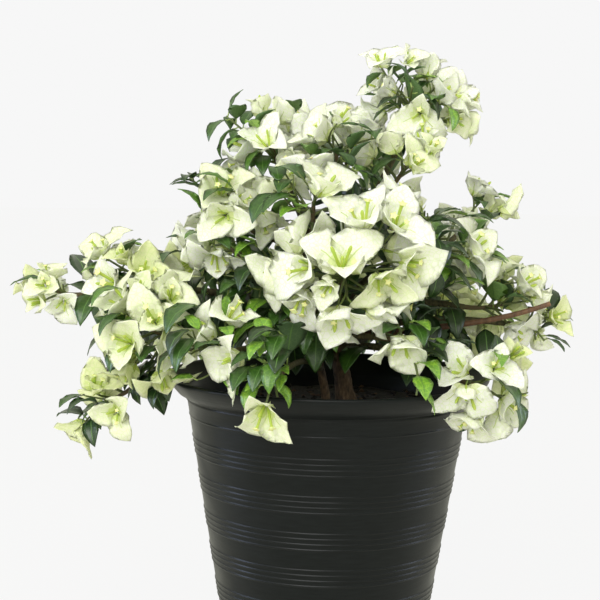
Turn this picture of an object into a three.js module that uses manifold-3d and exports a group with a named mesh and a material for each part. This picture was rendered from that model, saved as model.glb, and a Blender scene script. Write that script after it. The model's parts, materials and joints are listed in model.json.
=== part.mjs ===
// A white bougainvillea bush in a round black plastic pot, in millimetres, +Z up.
// The origin is the centre of the pot's flat underside, and the front of the bush faces -Y.
// The bush is a short main stem, boughs that fork from it, and one mass of shoots at each bough's
// tip. A shoot carries leaves in a golden spiral, and ends in a bloom of three papery bracts.
import * as THREE from "three";
import { mergeVertices } from "three/addons/utils/BufferGeometryUtils.js";
import Module from "manifold-3d";

const wasm = await Module();
wasm.setup();

// ---- Driving dimensions -------------------------------------------------------------------------

const GAP = 0.3; // clearance between pieces that meet

const POT = {
  height: 255,
  rimRadius: 150,
  rimDepth: 20, // height of the flared rim
  bodyRadius: 134.5, // where the body's cone would meet the rim's top
  taper: 0.1644, // radius lost for each millimetre down
  wall: 3,
  floor: 4,
  drains: 6,
  drainRadius: 6,
  drainCircle: 62,
  segments: 48,
};
const SOIL_TOP = POT.height - 30;

const GOLDEN = Math.PI * (3 - Math.sqrt(5));
const UP = new THREE.Vector3(0, 0, 1);
const CROWN_HEART = new THREE.Vector3(5, 0, 310); // the masses face away from here

// A blade's stations give its edge: the share of the length, and the share of the half width.
const LEAF = { length: 44, width: 26, stations: [[0.4, 1]], fold: 0.2, droop: 0.12 };
const BRACT = {
  length: 35,
  width: 29,
  stations: [
    [0.34, 0.9],
    [0.68, 0.78],
  ],
  fold: 0.16,
  droop: -0.06,
};
const BLADE_THICKNESS = 1; // at a blade's root; it thins to nothing at the outline
const LEAF_SINK = 0.4; // how far past its twig's centre line a leaf starts
const LEAF_SPREAD = 0.65; // how far a leaf stands off from its twig: 0 is along it, 1 is square to it
const LEAF_TURNS = [0, 0.4, 0.8]; // how far a leaf turns outwards, tried in turn
const NOTCH = 2.2; // from a bloom's centre to the meeting of two bracts
// Degrees between a bract and its bloom's axis, and share of the full size, tried in turn.
const BRACT_TRIES = [
  [54, 1],
  [36, 1],
  [20, 0.9],
  [34, 0.55],
];

const STEM = { tipRadius: 2.4, sides: 4, segments: 3 }; // the stem that runs through a mass
const TWIG = { rootRadius: 1.4, tipRadius: 1.3, sides: 3, segments: 2 };
const STALK = { radius: 0.8, length: 20 }; // under a side bloom
const TRUNK = { sides: 8, segments: 6 };
const BOUGH = { tipRadius: 2.6, sides: 5, segments: 4, turn: 0.3, droop: 0.25 };
const SHOOT_CONE = 100; // degrees that the shoots spread from a mass's outward direction
const LIMB_CLEAR = 2; // leaves and twigs keep this far from every limb's bark
const POT_CLEAR = 3;
const CELL_CLEAR = 0.5; // half the space between two neighbouring masses

const STEMS = [
  {
    name: "main_stem",
    foot: [20, 2, SOIL_TOP - 8],
    lean: [-2, 6, 0],
    tip: [4, -4, 318],
    rootRadius: 9,
    tipRadius: 6,
    flare: 0.7,
  },
  {
    name: "second_stem",
    foot: [2, -20, SOIL_TOP - 8],
    lean: [4, -4, 0],
    tip: [-22, -36, 322],
    rootRadius: 4.2,
    tipRadius: 3,
    flare: 0.5,
  },
];
const CUT_BRANCH = {
  name: "cut_branch",
  parent: "main_stem",
  fork: 0.7,
  tip: [201, -28, 327],
  rootRadius: 3.5,
  tipRadius: 2.2,
  turn: 0,
  droop: -0.2,
};

// The masses of foliage. Each row gives the name, the centre, the half sizes of the space that the
// shoots reach, the number of shoots, the blooms and the leaves on a shoot, the limb that the mass's
// bough forks from, how far along that limb, and the bough's radius there.
const MASSES = [
  ["top", [76, -8, 500], [48, 44, 46], 8, 2, 2, "main_stem", 0.97, 4.6],
  ["crest", [64, -34, 444], [48, 44, 44], 7, 2, 2, "bough_top", 0.55, 3.2],
  ["top_centre", [4, -52, 458], [46, 42, 38], 6, 2, 2, "bough_top", 0.4, 3.2],
  ["upper_left", [-52, -22, 461], [48, 42, 42], 6, 1, 3, "main_stem", 0.9, 4.2],
  ["upper_middle", [-14, -94, 414], [46, 42, 42], 6, 2, 2, "second_stem", 0.97, 2.8],
  ["left_upper", [-92, -52, 400], [46, 44, 44], 6, 1, 3, "bough_upper_left", 0.35, 3],
  ["front_heart", [16, -122, 362], [64, 48, 54], 9, 2, 1, "second_stem", 0.8, 2.8],
  ["right_middle", [98, -58, 374], [48, 46, 50], 6, 1, 2, "main_stem", 0.82, 4],
  ["right_upper", [130, 14, 402], [38, 38, 36], 4, 1, 2, "bough_right", 0.55, 2.6],
  ["right", [154, 4, 322], [46, 46, 44], 7, 2, 2, "main_stem", 0.9, 4.2],
  ["right_tip", [192, 14, 304], [24, 28, 26], 4, 1, 2, "main_stem", 0.65, 3.4],
  ["right_low", [130, -100, 264], [42, 40, 44], 6, 2, 2, "main_stem", 0.6, 3.6],
  ["front_low", [68, -112, 306], [42, 40, 36], 5, 1, 2, "second_stem", 0.6, 2.6],
  ["left_middle", [-168, -20, 340], [50, 46, 34], 6, 2, 2, "bough_far_left", 0.6, 2.8],
  ["far_left", [-248, -4, 328], [42, 32, 20], 5, 1, 2, "main_stem", 0.8, 4],
  ["left_low", [-150, -76, 302], [54, 50, 50], 7, 2, 1, "main_stem", 0.62, 3.8],
  ["left_hanging", [-194, -50, 236], [40, 34, 30], 5, 1, 2, "bough_left_low", 0.75, 2.8],
  ["front_left", [-98, -118, 292], [44, 40, 38], 6, 1, 2, "main_stem", 0.5, 3],
  ["front_sprig", [-46, -146, 276], [34, 34, 38], 4, 1, 3, "second_stem", 0.45, 2.6],
  ["inner_left", [-62, -64, 350], [42, 38, 38], 5, 0, 4, "second_stem", 0.85, 2.6],
  ["inner_leaves", [-24, -80, 314], [40, 34, 36], 4, 0, 4, "second_stem", 0.7, 2.6],
  ["back_top", [14, 56, 450], [50, 46, 44], 6, 1, 1, "bough_top", 0.3, 3],
  ["back_left", [-100, 58, 372], [54, 50, 48], 7, 1, 1, "main_stem", 0.85, 3.8],
  ["back_right", [88, 68, 378], [52, 50, 48], 7, 1, 1, "main_stem", 0.9, 3.8],
  ["back_heart", [-6, 116, 336], [58, 48, 50], 7, 1, 1, "main_stem", 0.75, 3.8],
  ["back_left_low", [-122, 98, 288], [54, 50, 44], 6, 1, 1, "main_stem", 0.6, 3.4],
  ["back_right_low", [112, 106, 288], [54, 50, 44], 6, 1, 1, "main_stem", 0.55, 3.4],
].map(([name, at, reach, shoots, blooms, leaves, parent, fork, rootRadius], index) => ({
  ...{ name, index, reach, shoots, blooms, leaves, parent, fork, rootRadius },
  centre: new THREE.Vector3(...at),
  size: (reach[0] + reach[1] + reach[2]) / 3,
  bough: "bough_" + name,
}));

// ---- Small helpers ------------------------------------------------------------------------------

const vec = (p) => new THREE.Vector3(...p);
const lerp = (a, b, t) => a + (b - a) * t;
const mix = (a, b, t) => a.clone().lerp(b, t);
const towards = (a, b) => b.clone().sub(a).normalize();
const radians = THREE.MathUtils.degToRad;
const range = (n) => [...Array(n).keys()];

// A fixed number from 0 to 1 for each set of keys, so that the same bush grows every time.
function chance(...keys) {
  let h = 0x2545f491;
  for (const key of keys) {
    h = Math.imul(h ^ (key + 0x9e3779b9), 0x85ebca6b);
    h ^= h >>> 13;
  }
  h = Math.imul(h ^ (h >>> 16), 0xc2b2ae35);
  return ((h ^ (h >>> 16)) >>> 0) / 2 ** 32;
}

// Turns a direction square to an axis.
const level = (direction, axis) => direction.addScaledVector(axis, -direction.dot(axis)).normalize();

// Two directions square to an axis and to each other.
function squareTo(axis) {
  const helper = Math.abs(axis.z) > 0.9 ? new THREE.Vector3(1, 0, 0) : UP;
  const first = helper.clone().cross(axis).normalize();
  return [first, axis.clone().cross(first)];
}

// The direction at a polar angle from an axis, turned about it.
function splay(axis, polar, turn) {
  const [first, second] = squareTo(axis);
  return axis
    .clone()
    .multiplyScalar(Math.cos(polar))
    .addScaledVector(first, Math.sin(polar) * Math.cos(turn))
    .addScaledVector(second, Math.sin(polar) * Math.sin(turn));
}

function geometryOf(points, faces) {
  const geometry = new THREE.BufferGeometry();
  const numbers = points.flatMap((p) => p.toArray());
  geometry.setAttribute("position", new THREE.Float32BufferAttribute(numbers, 3));
  geometry.setIndex(faces.flat());
  return geometry;
}

function solidOf(geometry) {
  const bare = geometry.clone();
  bare.deleteAttribute("normal");
  bare.deleteAttribute("uv");
  const merged = mergeVertices(bare, 1e-4);
  return new wasm.Manifold(
    new wasm.Mesh({
      numProp: 3,
      vertProperties: merged.attributes.position.array,
      triVerts: new Uint32Array(merged.index.array),
    }),
  );
}

// The largest body of a solid: loose scraps go, and sealed hollows are filled.
function wholeOf(solid) {
  return solid.decompose().reduce((best, body) => (body.volume() > best.volume() ? body : best));
}

function meshOf(name, solid, material) {
  const { vertProperties, triVerts } = solid.getMesh();
  const geometry = new THREE.BufferGeometry();
  geometry.setAttribute("position", new THREE.BufferAttribute(vertProperties, 3));
  geometry.setIndex(new THREE.BufferAttribute(triVerts, 1));
  const mesh = new THREE.Mesh(geometry, material);
  mesh.name = name;
  return mesh;
}

// ---- Tubes --------------------------------------------------------------------------------------

// The rings of a flat-sided tube through `centres`, with a radius at each centre.
function ringsOf(centres, radii, sides) {
  const last = centres.length - 1;
  let [across] = squareTo(towards(centres[0], centres[1]));
  return centres.map((centre, i) => {
    const along = towards(centres[Math.max(i - 1, 0)], centres[Math.min(i + 1, last)]);
    across = level(across.clone(), along);
    const other = along.clone().cross(across);
    return range(sides).map((k) => {
      const turn = (2 * Math.PI * k) / sides;
      return centre
        .clone()
        .addScaledVector(across, radii[i] * Math.cos(turn))
        .addScaledVector(other, radii[i] * Math.sin(turn));
    });
  });
}

// The faces between rings of points numbered in a row, and the flat cap on the first ring.
function sideFaces(rings, sides) {
  return range(rings - 1).flatMap((i) =>
    range(sides).flatMap((k) => {
      const [a, b] = [i * sides + k, i * sides + ((k + 1) % sides)];
      return [
        [a, b, b + sides],
        [a, b + sides, a + sides],
      ];
    }),
  );
}
const capFaces = (sides) => range(sides - 2).map((k) => [0, k + 2, k + 1]);

// A tube's centre line with its rings.
function tubeOf(centres, radii, sides) {
  return { centres, sides, rings: ringsOf(centres, radii, sides) };
}

function tubeSolid({ centres, sides, rings }) {
  const first = (centres.length - 1) * sides;
  const endCap = range(sides - 2).map((k) => [first, first + k + 1, first + k + 2]);
  const faces = [...sideFaces(centres.length, sides), ...capFaces(sides), ...endCap];
  return solidOf(geometryOf(rings.flat(), faces));
}

// A place on a tube's centre line, the tube's direction there, and the way its flat side `k` faces.
function spotOn({ centres, sides, rings }, t, k) {
  const piece = Math.min(Math.floor(t * (centres.length - 1)), centres.length - 2);
  const at = mix(centres[piece], centres[piece + 1], t * (centres.length - 1) - piece);
  const along = towards(centres[piece], centres[piece + 1]);
  const outwards = mix(rings[piece][k % sides], rings[piece][(k + 1) % sides], 0.5).sub(centres[piece]);
  return { at, along, outwards: level(outwards, along) };
}

const pointsAlong = (curve, steps) => range(steps + 1).map((i) => curve.getPoint(i / steps));

const taperAlong = (centres, from, to) => centres.map((_, i) => lerp(from, to, i / (centres.length - 1)));

// ---- Limbs: the stems and the boughs ------------------------------------------------------------

// A limb's centre line and radii. With flare, its foot swells into the root.
function limbOf({ curve, rootRadius, tipRadius, flare = 0, sides, segments }) {
  const steps = range(segments + 1).map((i) => (i / segments) ** (flare ? 1.5 : 1));
  const swell = (t) => 1 + flare * Math.max(0, 1 - t / 0.3) ** 2;
  return {
    curve,
    sides,
    tipRadius,
    centres: steps.map((t) => curve.getPoint(t)),
    radii: steps.map((t) => lerp(rootRadius, tipRadius, t) * swell(t)),
  };
}

// The limb's solid, cut off flat at the soil. With `extra`, it is that much thicker and longer, to
// cut a neighbour clear of it.
function limbSolid({ centres, radii, sides }, extra = 0) {
  const longer = centres.map((c) => c.clone());
  const end = longer.length - 1;
  longer[0].addScaledVector(towards(centres[1], centres[0]), extra);
  longer[end].addScaledVector(towards(centres[end - 1], centres[end]), extra);
  const bark = tubeOf(longer, radii.map((r) => r + extra), sides);
  return tubeSolid(bark).trimByPlane([0, 0, 1], SOIL_TOP + GAP);
}

function rootedStem({ foot, tip, lean, ...limb }) {
  const middle = mix(vec(foot), vec(tip), 0.5).add(vec(lean));
  const curve = new THREE.QuadraticBezierCurve3(vec(foot), middle, vec(tip));
  return limbOf({ ...limb, ...TRUNK, curve });
}

// A bough turns towards the parent's own direction where it leaves it, and arches over to its tip by
// its droop. A droop below zero bends it up to its tip.
function forkedBough({ parent, fork, tip, turn = BOUGH.turn, droop = BOUGH.droop, ...limb }) {
  const start = parent.curve.getPoint(fork);
  const pull = 0.35 * start.distanceTo(tip);
  const outwards = towards(start, tip);
  const leaving = mix(outwards, parent.curve.getTangent(fork), turn).normalize();
  const arriving = outwards.clone().addScaledVector(UP, -droop).normalize();
  const curve = new THREE.CubicBezierCurve3(
    start,
    start.clone().addScaledVector(leaving, pull),
    tip.clone().addScaledVector(arriving, -pull),
    tip,
  );
  return limbOf({ ...limb, sides: BOUGH.sides, segments: BOUGH.segments, curve });
}

// ---- Room: what a mass's twigs and blades keep clear of -----------------------------------------

// Each mass keeps to the points that are nearer to it than to any other mass, and a larger mass has
// its borders further out. Such a space has flat borders, so a blade with its corners in it is in it.
function inOwnSpace(point, mass) {
  return MASSES.every((other) => {
    if (other === mass) return true;
    const apart = other.centre.distanceTo(mass.centre);
    const along = point.clone().sub(mass.centre).dot(towards(mass.centre, other.centre));
    return along <= apart / 2 + (mass.size ** 2 - other.size ** 2) / (2 * apart) - CELL_CLEAR;
  });
}

const bodyRadiusAt = (z) => POT.bodyRadius - POT.taper * (POT.height - z);

function clearOfPot(point) {
  if (point.z > POT.height + POT_CLEAR) return true;
  const fromAxis = Math.hypot(point.x, point.y);
  const besideRim = point.z > POT.height - POT.rimDepth - POT_CLEAR;
  return fromAxis > (besideRim ? POT.rimRadius : bodyRadiusAt(point.z)) + POT_CLEAR;
}

function clearOfLimbs(point, limbs) {
  const nearest = new THREE.Vector3();
  return limbs.every(({ centres, radii }) =>
    centres.slice(1).every((end, i) => {
      new THREE.Line3(centres[i], end).closestPointToPoint(point, true, nearest);
      return point.distanceTo(nearest) > Math.max(radii[i], radii[i + 1]) + LIMB_CLEAR;
    }),
  );
}

function crosses([from, to], [a, b, c]) {
  const ray = new THREE.Ray(from, towards(from, to));
  const hit = ray.intersectTriangle(a, b, c, false, new THREE.Vector3());
  return hit !== null && hit.distanceTo(from) < from.distanceTo(to);
}

const edgesOf = ([a, b, c]) => [
  [a, b],
  [b, c],
  [c, a],
];

// A plot is the room of one mass, with what has grown in it so far.
class Plot {
  constructor(mass, limbs) {
    this.mass = mass;
    this.limbs = limbs;
    this.blades = []; // the triangles of each blade
    this.paths = []; // the centre line of each twig
  }

  isFree(points) {
    return points.every((p) => clearOfPot(p) && inOwnSpace(p, this.mass) && clearOfLimbs(p, this.limbs));
  }

  // A path may start on a twig, but may not cross a blade.
  takesPath(path) {
    const pieces = path.slice(1).map((end, i) => [path[i], end]);
    return this.isFree(path.slice(1)) && !this.blades.flat().some((t) => pieces.some((s) => crosses(s, t)));
  }

  // A blade may not cross another blade, or any twig but the one it grows on.
  takesBlade({ triangles, points }, ownPath) {
    if (!this.isFree(points)) return false;
    const edges = triangles.flatMap(edgesOf);
    const others = this.paths.filter((path) => path !== ownPath);
    const twigs = others.flatMap((path) => path.slice(1).map((end, i) => [path[i], end]));
    return (
      !twigs.some((s) => triangles.some((t) => crosses(s, t))) &&
      !this.blades.flat().some((t) => edges.some((s) => crosses(s, t)) || this.cuts(t, triangles))
    );
  }

  cuts(triangle, triangles) {
    return edgesOf(triangle).some((s) => triangles.some((t) => crosses(s, t)));
  }
}

// ---- Blades: leaves and bracts ------------------------------------------------------------------

// A blade grows from its root along `along`, with its upper face towards `facing`. Its outline runs
// up one edge, over the tip and down the other.
function bladeOf(kind, root, along, facing, scale) {
  const length = kind.length * scale;
  const half = (kind.width * scale) / 2;
  const across = along.clone().cross(facing).normalize();
  const normal = across.clone().cross(along).normalize();
  const place = (t, side, lift) =>
    root
      .clone()
      .addScaledVector(along, t * length)
      .addScaledVector(across, side * half)
      .addScaledVector(normal, lift * length);
  const edge = (t, side) => place(t, side, kind.fold * Math.abs(side) * 0.5 - kind.droop * t * t);
  const stations = [[0, 0], ...kind.stations];
  const right = kind.stations.map(([t, share]) => edge(t, share));
  const left = kind.stations.map(([t, share]) => edge(t, -share)).reverse();
  const outline = [...right, edge(1, 0), ...left];
  const triangles = outline.slice(1).map((end, i) => [root, outline[i], end]);
  const inner = triangles.flatMap(([a, b, c]) => [mix(a, b, 0.5), mix(a, c, 0.5), mix(b, c, 0.5)]);
  return { root, normal, outline, triangles, points: [...outline, ...inner], stations };
}

// A leaf as a closed solid: thick at its root, thinning to its outline.
function leafSolid({ root, normal, outline }) {
  const above = root.clone().addScaledVector(normal, BLADE_THICKNESS / 2);
  const below = root.clone().addScaledVector(normal, -BLADE_THICKNESS / 2);
  const end = outline.length + 1;
  const faces = [
    [0, 1, 2],
    [0, end, 1],
  ];
  for (let i = 2; i < end; i++) faces.push([0, i, i + 1], [1, i + 1, i]);
  return solidOf(geometryOf([above, below, ...outline], faces));
}

// A bloom's three bracts stand over the three edges of its twig. One that has no room closes up, or
// stays smaller. A bloom that can't hold all three isn't grown.
function bractsOf(plot, { centres, rings }, axis, keys) {
  const last = centres.length - 1;
  const at = centres[last];
  const scale = 0.88 + 0.24 * chance(...keys, 1);
  const bracts = range(3).map((k) => {
    const lean = level(rings[last][k].clone().sub(at), axis);
    const tilt = 14 * (chance(...keys, 3, k) - 0.5);
    const tries = BRACT_TRIES.map(([opening, share]) => {
      const polar = radians(opening + tilt);
      const along = axis.clone().multiplyScalar(Math.cos(polar)).addScaledVector(lean, Math.sin(polar));
      return { ...bladeOf(BRACT, at, along, axis, scale * share), lean };
    });
    return tries.find((blade) => plot.takesBlade(blade, centres));
  });
  return bracts.every(Boolean) ? bracts : null;
}

// A twig that ends in a bloom, as one closed solid: the last ring of the twig opens out into the
// undersides of the three bracts, and their upper sides meet at the bloom's heart.
function bloomedSolid({ centres, sides, rings }, bracts, axis) {
  const at = centres[centres.length - 1];
  const neck = at.clone().addScaledVector(axis, -BLADE_THICKNESS);
  const mouth = bracts.map(({ lean }) => neck.clone().addScaledVector(lean, STALK.radius));
  const points = [...rings.slice(0, -1).flat(), ...mouth];
  const heart = points.push(at.clone().addScaledVector(axis, BLADE_THICKNESS / 2)) - 1;
  const rim = bracts.flatMap(({ outline, lean }, k) => {
    const between = level(lean.clone().add(bracts[(k + 2) % 3].lean), axis);
    const edge = [at.clone().addScaledVector(between, NOTCH), ...outline];
    return edge.map((point) => ({ index: points.push(point) - 1, under: heart - sides + k }));
  });
  const faces = [...sideFaces(centres.length, sides), ...capFaces(sides)];
  rim.forEach(({ index, under }, i) => {
    const next = rim[(i + 1) % rim.length];
    faces.push([heart, index, next.index], [under, next.index, index]);
    if (next.under !== under) faces.push([under, next.under, next.index]);
  });
  return solidOf(geometryOf(points, faces));
}

// ---- Growth: a mass's stem, shoots, blooms and leaves -------------------------------------------

// The mass's own stem goes on from its bough's tip, through the centre.
function stemOf(mass, bough, outwards) {
  const along = bough.curve.getTangent(1);
  const start = bough.curve.getPoint(1).addScaledVector(along, GAP);
  const end = mass.centre.clone().addScaledVector(outwards, 0.15 * mass.size);
  const bend = start.clone().addScaledVector(along, 0.5 * start.distanceTo(end));
  const centres = pointsAlong(new THREE.QuadraticBezierCurve3(start, bend, end), STEM.segments);
  return tubeOf(centres, taperAlong(centres, bough.tipRadius, STEM.tipRadius), STEM.sides);
}

// Ends a twig in a bloom if there is room for one.
function bloomAt(plot, twig, axis, keys) {
  const bracts = bractsOf(plot, twig, axis, keys);
  if (!bracts) return null;
  plot.blades.push(...bracts.map((b) => b.triangles));
  return bloomedSolid(twig, bracts, axis);
}

// Side blooms stand on stalks of their own.
function sideBlooms(plot, twig, facing, keys) {
  return range(Math.max(plot.mass.blooms - 1, 0)).flatMap((b) => {
    const side = Math.floor(3 * chance(...keys, 6, b));
    const { at, outwards } = spotOn(twig, 0.72 - 0.15 * b, side);
    const away = mix(outwards, facing, 0.35).normalize();
    const centres = [at, at.clone().addScaledVector(away, STALK.length)];
    if (!plot.takesPath(centres)) return [];
    const stalk = tubeOf(centres, [STALK.radius, STALK.radius], TWIG.sides);
    const bloom = bloomAt(plot, stalk, away, [...keys, 20 + b]);
    if (bloom) plot.paths.push(centres);
    return bloom ? [bloom] : [];
  });
}

const leafAt = (at, along, facing, scale) =>
  bladeOf(LEAF, at.clone().addScaledVector(along, LEAF_SINK), along, facing, scale);

// Leaves stand on the three sides of a shoot in turn, their faces to the sky.
function leavesOn(plot, twig, outwards, keys) {
  const { leaves, blooms } = plot.mass;
  const firstSide = Math.floor(3 * chance(...keys, 14));
  const facing = UP.clone().addScaledVector(outwards, 0.35);
  return range(leaves).flatMap((l) => {
    const spot = spotOn(twig, lerp(0.3, blooms ? 0.85 : 0.98, (l + 0.5) / leaves), firstSide + l);
    const sideways = mix(spot.along, spot.outwards, LEAF_SPREAD).normalize();
    const scale = 0.8 + 0.4 * chance(...keys, 5, l);
    const tries = LEAF_TURNS.map((turnOut) =>
      leafAt(spot.at, mix(sideways, outwards, turnOut).normalize(), facing, scale),
    );
    const leaf = tries.find((blade) => plot.takesBlade(blade, twig.centres));
    if (leaf) plot.blades.push(leaf.triangles);
    return leaf ? [leafSolid(leaf)] : [];
  });
}

// A shoot bends from the mass's stem to its tip. The tips fan out by the golden angle.
function shootSolids(plot, stem, outwards, s) {
  const { mass } = plot;
  const keys = [mass.index, s];
  const share = (s + 0.5) / mass.shoots;
  const polar = radians(SHOOT_CONE) * Math.sqrt(share) * (0.9 + 0.2 * chance(...keys, 11));
  const direction = splay(outwards, polar, s * GOLDEN + 2 * Math.PI * chance(mass.index, 12));
  const reach = 0.55 + 0.2 * chance(...keys, 13);
  const root = spotOn(stem, lerp(0.95, 0.35, share), 0).at;
  const tip = direction.clone().multiply(vec(mass.reach)).multiplyScalar(reach).add(mass.centre);
  const bend = mix(root, tip, 0.5).addScaledVector(outwards, 0.18 * root.distanceTo(tip));
  const centres = pointsAlong(new THREE.QuadraticBezierCurve3(root, bend, tip), TWIG.segments);
  if (!plot.takesPath(centres)) return [];
  plot.paths.push(centres);
  const twig = tubeOf(centres, taperAlong(centres, TWIG.rootRadius, TWIG.tipRadius), TWIG.sides);
  const facing = direction.addScaledVector(UP, 0.3).normalize();
  const bloom = mass.blooms ? bloomAt(plot, twig, facing, [...keys, 19]) : null;
  const sides = sideBlooms(plot, twig, facing, keys);
  return [bloom ?? tubeSolid(twig), ...sides, ...leavesOn(plot, twig, outwards, keys)];
}

// A mass as one solid: blades fused to twigs, and twigs to the stem.
function massSolid(mass, bough, limbs) {
  const outwards = towards(CROWN_HEART, mass.centre);
  const stem = stemOf(mass, bough, outwards);
  const plot = new Plot(mass, limbs);
  plot.paths.push(stem.centres);
  const shoots = range(mass.shoots).flatMap((s) => shootSolids(plot, stem, outwards, s));
  return wholeOf(wasm.Manifold.union([tubeSolid(stem), ...shoots]).simplify());
}

// ---- The pot and its soil -----------------------------------------------------------------------

function latheSolid(profile) {
  const points = profile.map(([r, z]) => new THREE.Vector2(r, z));
  return solidOf(new THREE.LatheGeometry(points, POT.segments).rotateX(Math.PI / 2));
}

function drainSolid(i) {
  const { floor, drainRadius, drainCircle } = POT;
  const turn = (2 * Math.PI * i) / POT.drains;
  const drain = new THREE.CylinderGeometry(drainRadius, drainRadius, 3 * floor, 10);
  drain.rotateX(Math.PI / 2).translate(drainCircle * Math.cos(turn), drainCircle * Math.sin(turn), 0);
  return solidOf(drain);
}

function potSolid() {
  const { height, rimRadius, rimDepth, wall, floor } = POT;
  const neck = height - rimDepth;
  const shell = latheSolid([
    [0, 0],
    [bodyRadiusAt(0), 0],
    [bodyRadiusAt(neck), neck],
    [rimRadius - 9, neck + 5],
    [rimRadius, height - 4],
    [rimRadius - 1, height],
    [rimRadius - 4, height],
    [bodyRadiusAt(neck) - wall + 3, neck + 5],
    [bodyRadiusAt(neck) - wall, neck],
    [bodyRadiusAt(floor) - wall, floor],
    [0, floor],
  ]);
  return range(POT.drains).reduce((solid, i) => solid.subtract(drainSolid(i)), shell);
}

function soilSolid() {
  const low = POT.floor + GAP;
  const radiusAt = (z) => bodyRadiusAt(z) - POT.wall - GAP;
  return latheSolid([
    [0, low],
    [radiusAt(low), low],
    [radiusAt(SOIL_TOP), SOIL_TOP],
    [0, SOIL_TOP],
  ]);
}

// ---- Assembly -----------------------------------------------------------------------------------

const paint = (color, roughness) => new THREE.MeshStandardMaterial({ color, roughness, metalness: 0 });
const POT_PLASTIC = paint(0x1d2126, 0.45);
const SOIL = paint(0x3a2c22, 1);
const BARK = paint(0x6b5138, 0.9);
const FOLIAGE = paint(0xdfe6c4, 0.7);

const bush = new THREE.Group();
bush.add(meshOf("pot", potSolid(), POT_PLASTIC));
bush.add(meshOf("soil", soilSolid(), SOIL));

const limbs = new Map(STEMS.map((stem) => [stem.name, rootedStem(stem)]));
limbs.set(
  CUT_BRANCH.name,
  forkedBough({ ...CUT_BRANCH, parent: limbs.get(CUT_BRANCH.parent), tip: vec(CUT_BRANCH.tip) }),
);

// A mass's bough ends where it enters the mass. A bough that others fork from is grown first.
function growBough({ bough, parent, fork, rootRadius, centre, size }) {
  if (limbs.has(bough)) return;
  if (!limbs.has(parent)) growBough(MASSES.find((mass) => mass.bough === parent));
  const from = limbs.get(parent);
  const start = from.curve.getPoint(fork);
  const tip = centre.clone().addScaledVector(towards(centre, start), 0.62 * size);
  limbs.set(bough, forkedBough({ parent: from, fork, tip, rootRadius, tipRadius: BOUGH.tipRadius }));
}
MASSES.forEach(growBough);

// Each limb is cut clear of the limbs before it.
let grown = null;
for (const [name, limb] of limbs) {
  const solid = limbSolid(limb);
  bush.add(meshOf(name, grown ? wholeOf(solid.subtract(grown)) : solid, BARK));
  const thicker = limbSolid(limb, GAP);
  grown = grown ? grown.add(thicker) : thicker;
}

for (const mass of MASSES) {
  const solid = massSolid(mass, limbs.get(mass.bough), [...limbs.values()]);
  bush.add(meshOf("mass_" + mass.name, solid, FOLIAGE));
}

export default bush;
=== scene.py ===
"""The looks of a white bougainvillea bush in its round black pot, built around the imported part.

The limbs and the masses' main shoots grow by the rule of the part's source, from the same numbers. Here
they go on to finer twigs, with leaves, bracts and flowers that have real curves, ribs and veins.
Growth is worked out in millimetres; meshes are made in metres.
"""

import json
import math
from collections import defaultdict

import bpy
import numpy as np
from mathutils import Matrix, Vector, noise

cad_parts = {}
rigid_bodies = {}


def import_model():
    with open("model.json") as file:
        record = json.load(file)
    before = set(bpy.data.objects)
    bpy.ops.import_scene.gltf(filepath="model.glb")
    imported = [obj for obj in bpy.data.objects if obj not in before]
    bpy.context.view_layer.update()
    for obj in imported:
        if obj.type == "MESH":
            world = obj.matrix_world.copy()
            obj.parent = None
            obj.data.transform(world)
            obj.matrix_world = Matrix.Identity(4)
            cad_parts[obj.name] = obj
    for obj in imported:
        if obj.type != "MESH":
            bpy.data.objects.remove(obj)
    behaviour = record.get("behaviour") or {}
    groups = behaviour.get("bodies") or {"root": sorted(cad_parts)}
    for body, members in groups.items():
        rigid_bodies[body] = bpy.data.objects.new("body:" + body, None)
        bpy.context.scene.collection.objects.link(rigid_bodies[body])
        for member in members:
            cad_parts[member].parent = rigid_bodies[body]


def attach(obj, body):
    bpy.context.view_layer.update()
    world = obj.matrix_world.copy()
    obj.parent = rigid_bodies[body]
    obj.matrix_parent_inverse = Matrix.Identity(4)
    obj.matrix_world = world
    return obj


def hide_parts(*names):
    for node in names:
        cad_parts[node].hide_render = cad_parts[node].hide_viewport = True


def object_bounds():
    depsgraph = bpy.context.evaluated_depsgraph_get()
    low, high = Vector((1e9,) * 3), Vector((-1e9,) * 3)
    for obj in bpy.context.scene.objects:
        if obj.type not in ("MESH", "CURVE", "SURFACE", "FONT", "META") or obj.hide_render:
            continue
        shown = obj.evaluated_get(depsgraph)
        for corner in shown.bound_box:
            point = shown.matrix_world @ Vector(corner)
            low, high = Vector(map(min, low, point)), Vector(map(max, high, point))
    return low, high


MM = 0.001
UP = Vector((0, 0, 1))
GOLDEN = math.pi * (3 - math.sqrt(5))

# ---- The part's own numbers, in millimetres ---------------------------------------------------------

POT_HEIGHT = 255
RIM_RADIUS = 150
RIM_DEPTH = 20
BODY_RADIUS = 134.5  # where the body's cone would meet the rim's top
TAPER = 0.1644  # radius lost for each millimetre down
WALL = 3
FLOOR = 4
DRAINS, DRAIN_RADIUS, DRAIN_CIRCLE = 6, 6, 62
SOIL_TOP = POT_HEIGHT - 30
CROWN_HEART = Vector((5, 0, 310))

SHOOT_CONE = 100  # degrees that the shoots spread from a mass's outward direction
STEM_TIP = 2.4
BOUGH_TIP = 2.6
LIMB_CLEAR = 1.5
POT_CLEAR = 2

# name, foot, lean, tip, radius at the root and the tip, flare
STEMS = [
    ("main_stem", (20, 2, SOIL_TOP - 8), (-2, 6, 0), (4, -4, 318), 9, 6, 0.7),
    ("second_stem", (2, -20, SOIL_TOP - 8), (4, -4, 0), (-22, -36, 322), 4.2, 3, 0.5),
]
BOUGH_TURN, BOUGH_DROOP = 0.3, 0.25
# name, parent, fork, tip, radius at the root and the tip, turn, droop
CUT_BRANCH = ("cut_branch", "main_stem", 0.7, (201, -28, 327), 3.5, 2.2, 0, -0.2)

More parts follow.
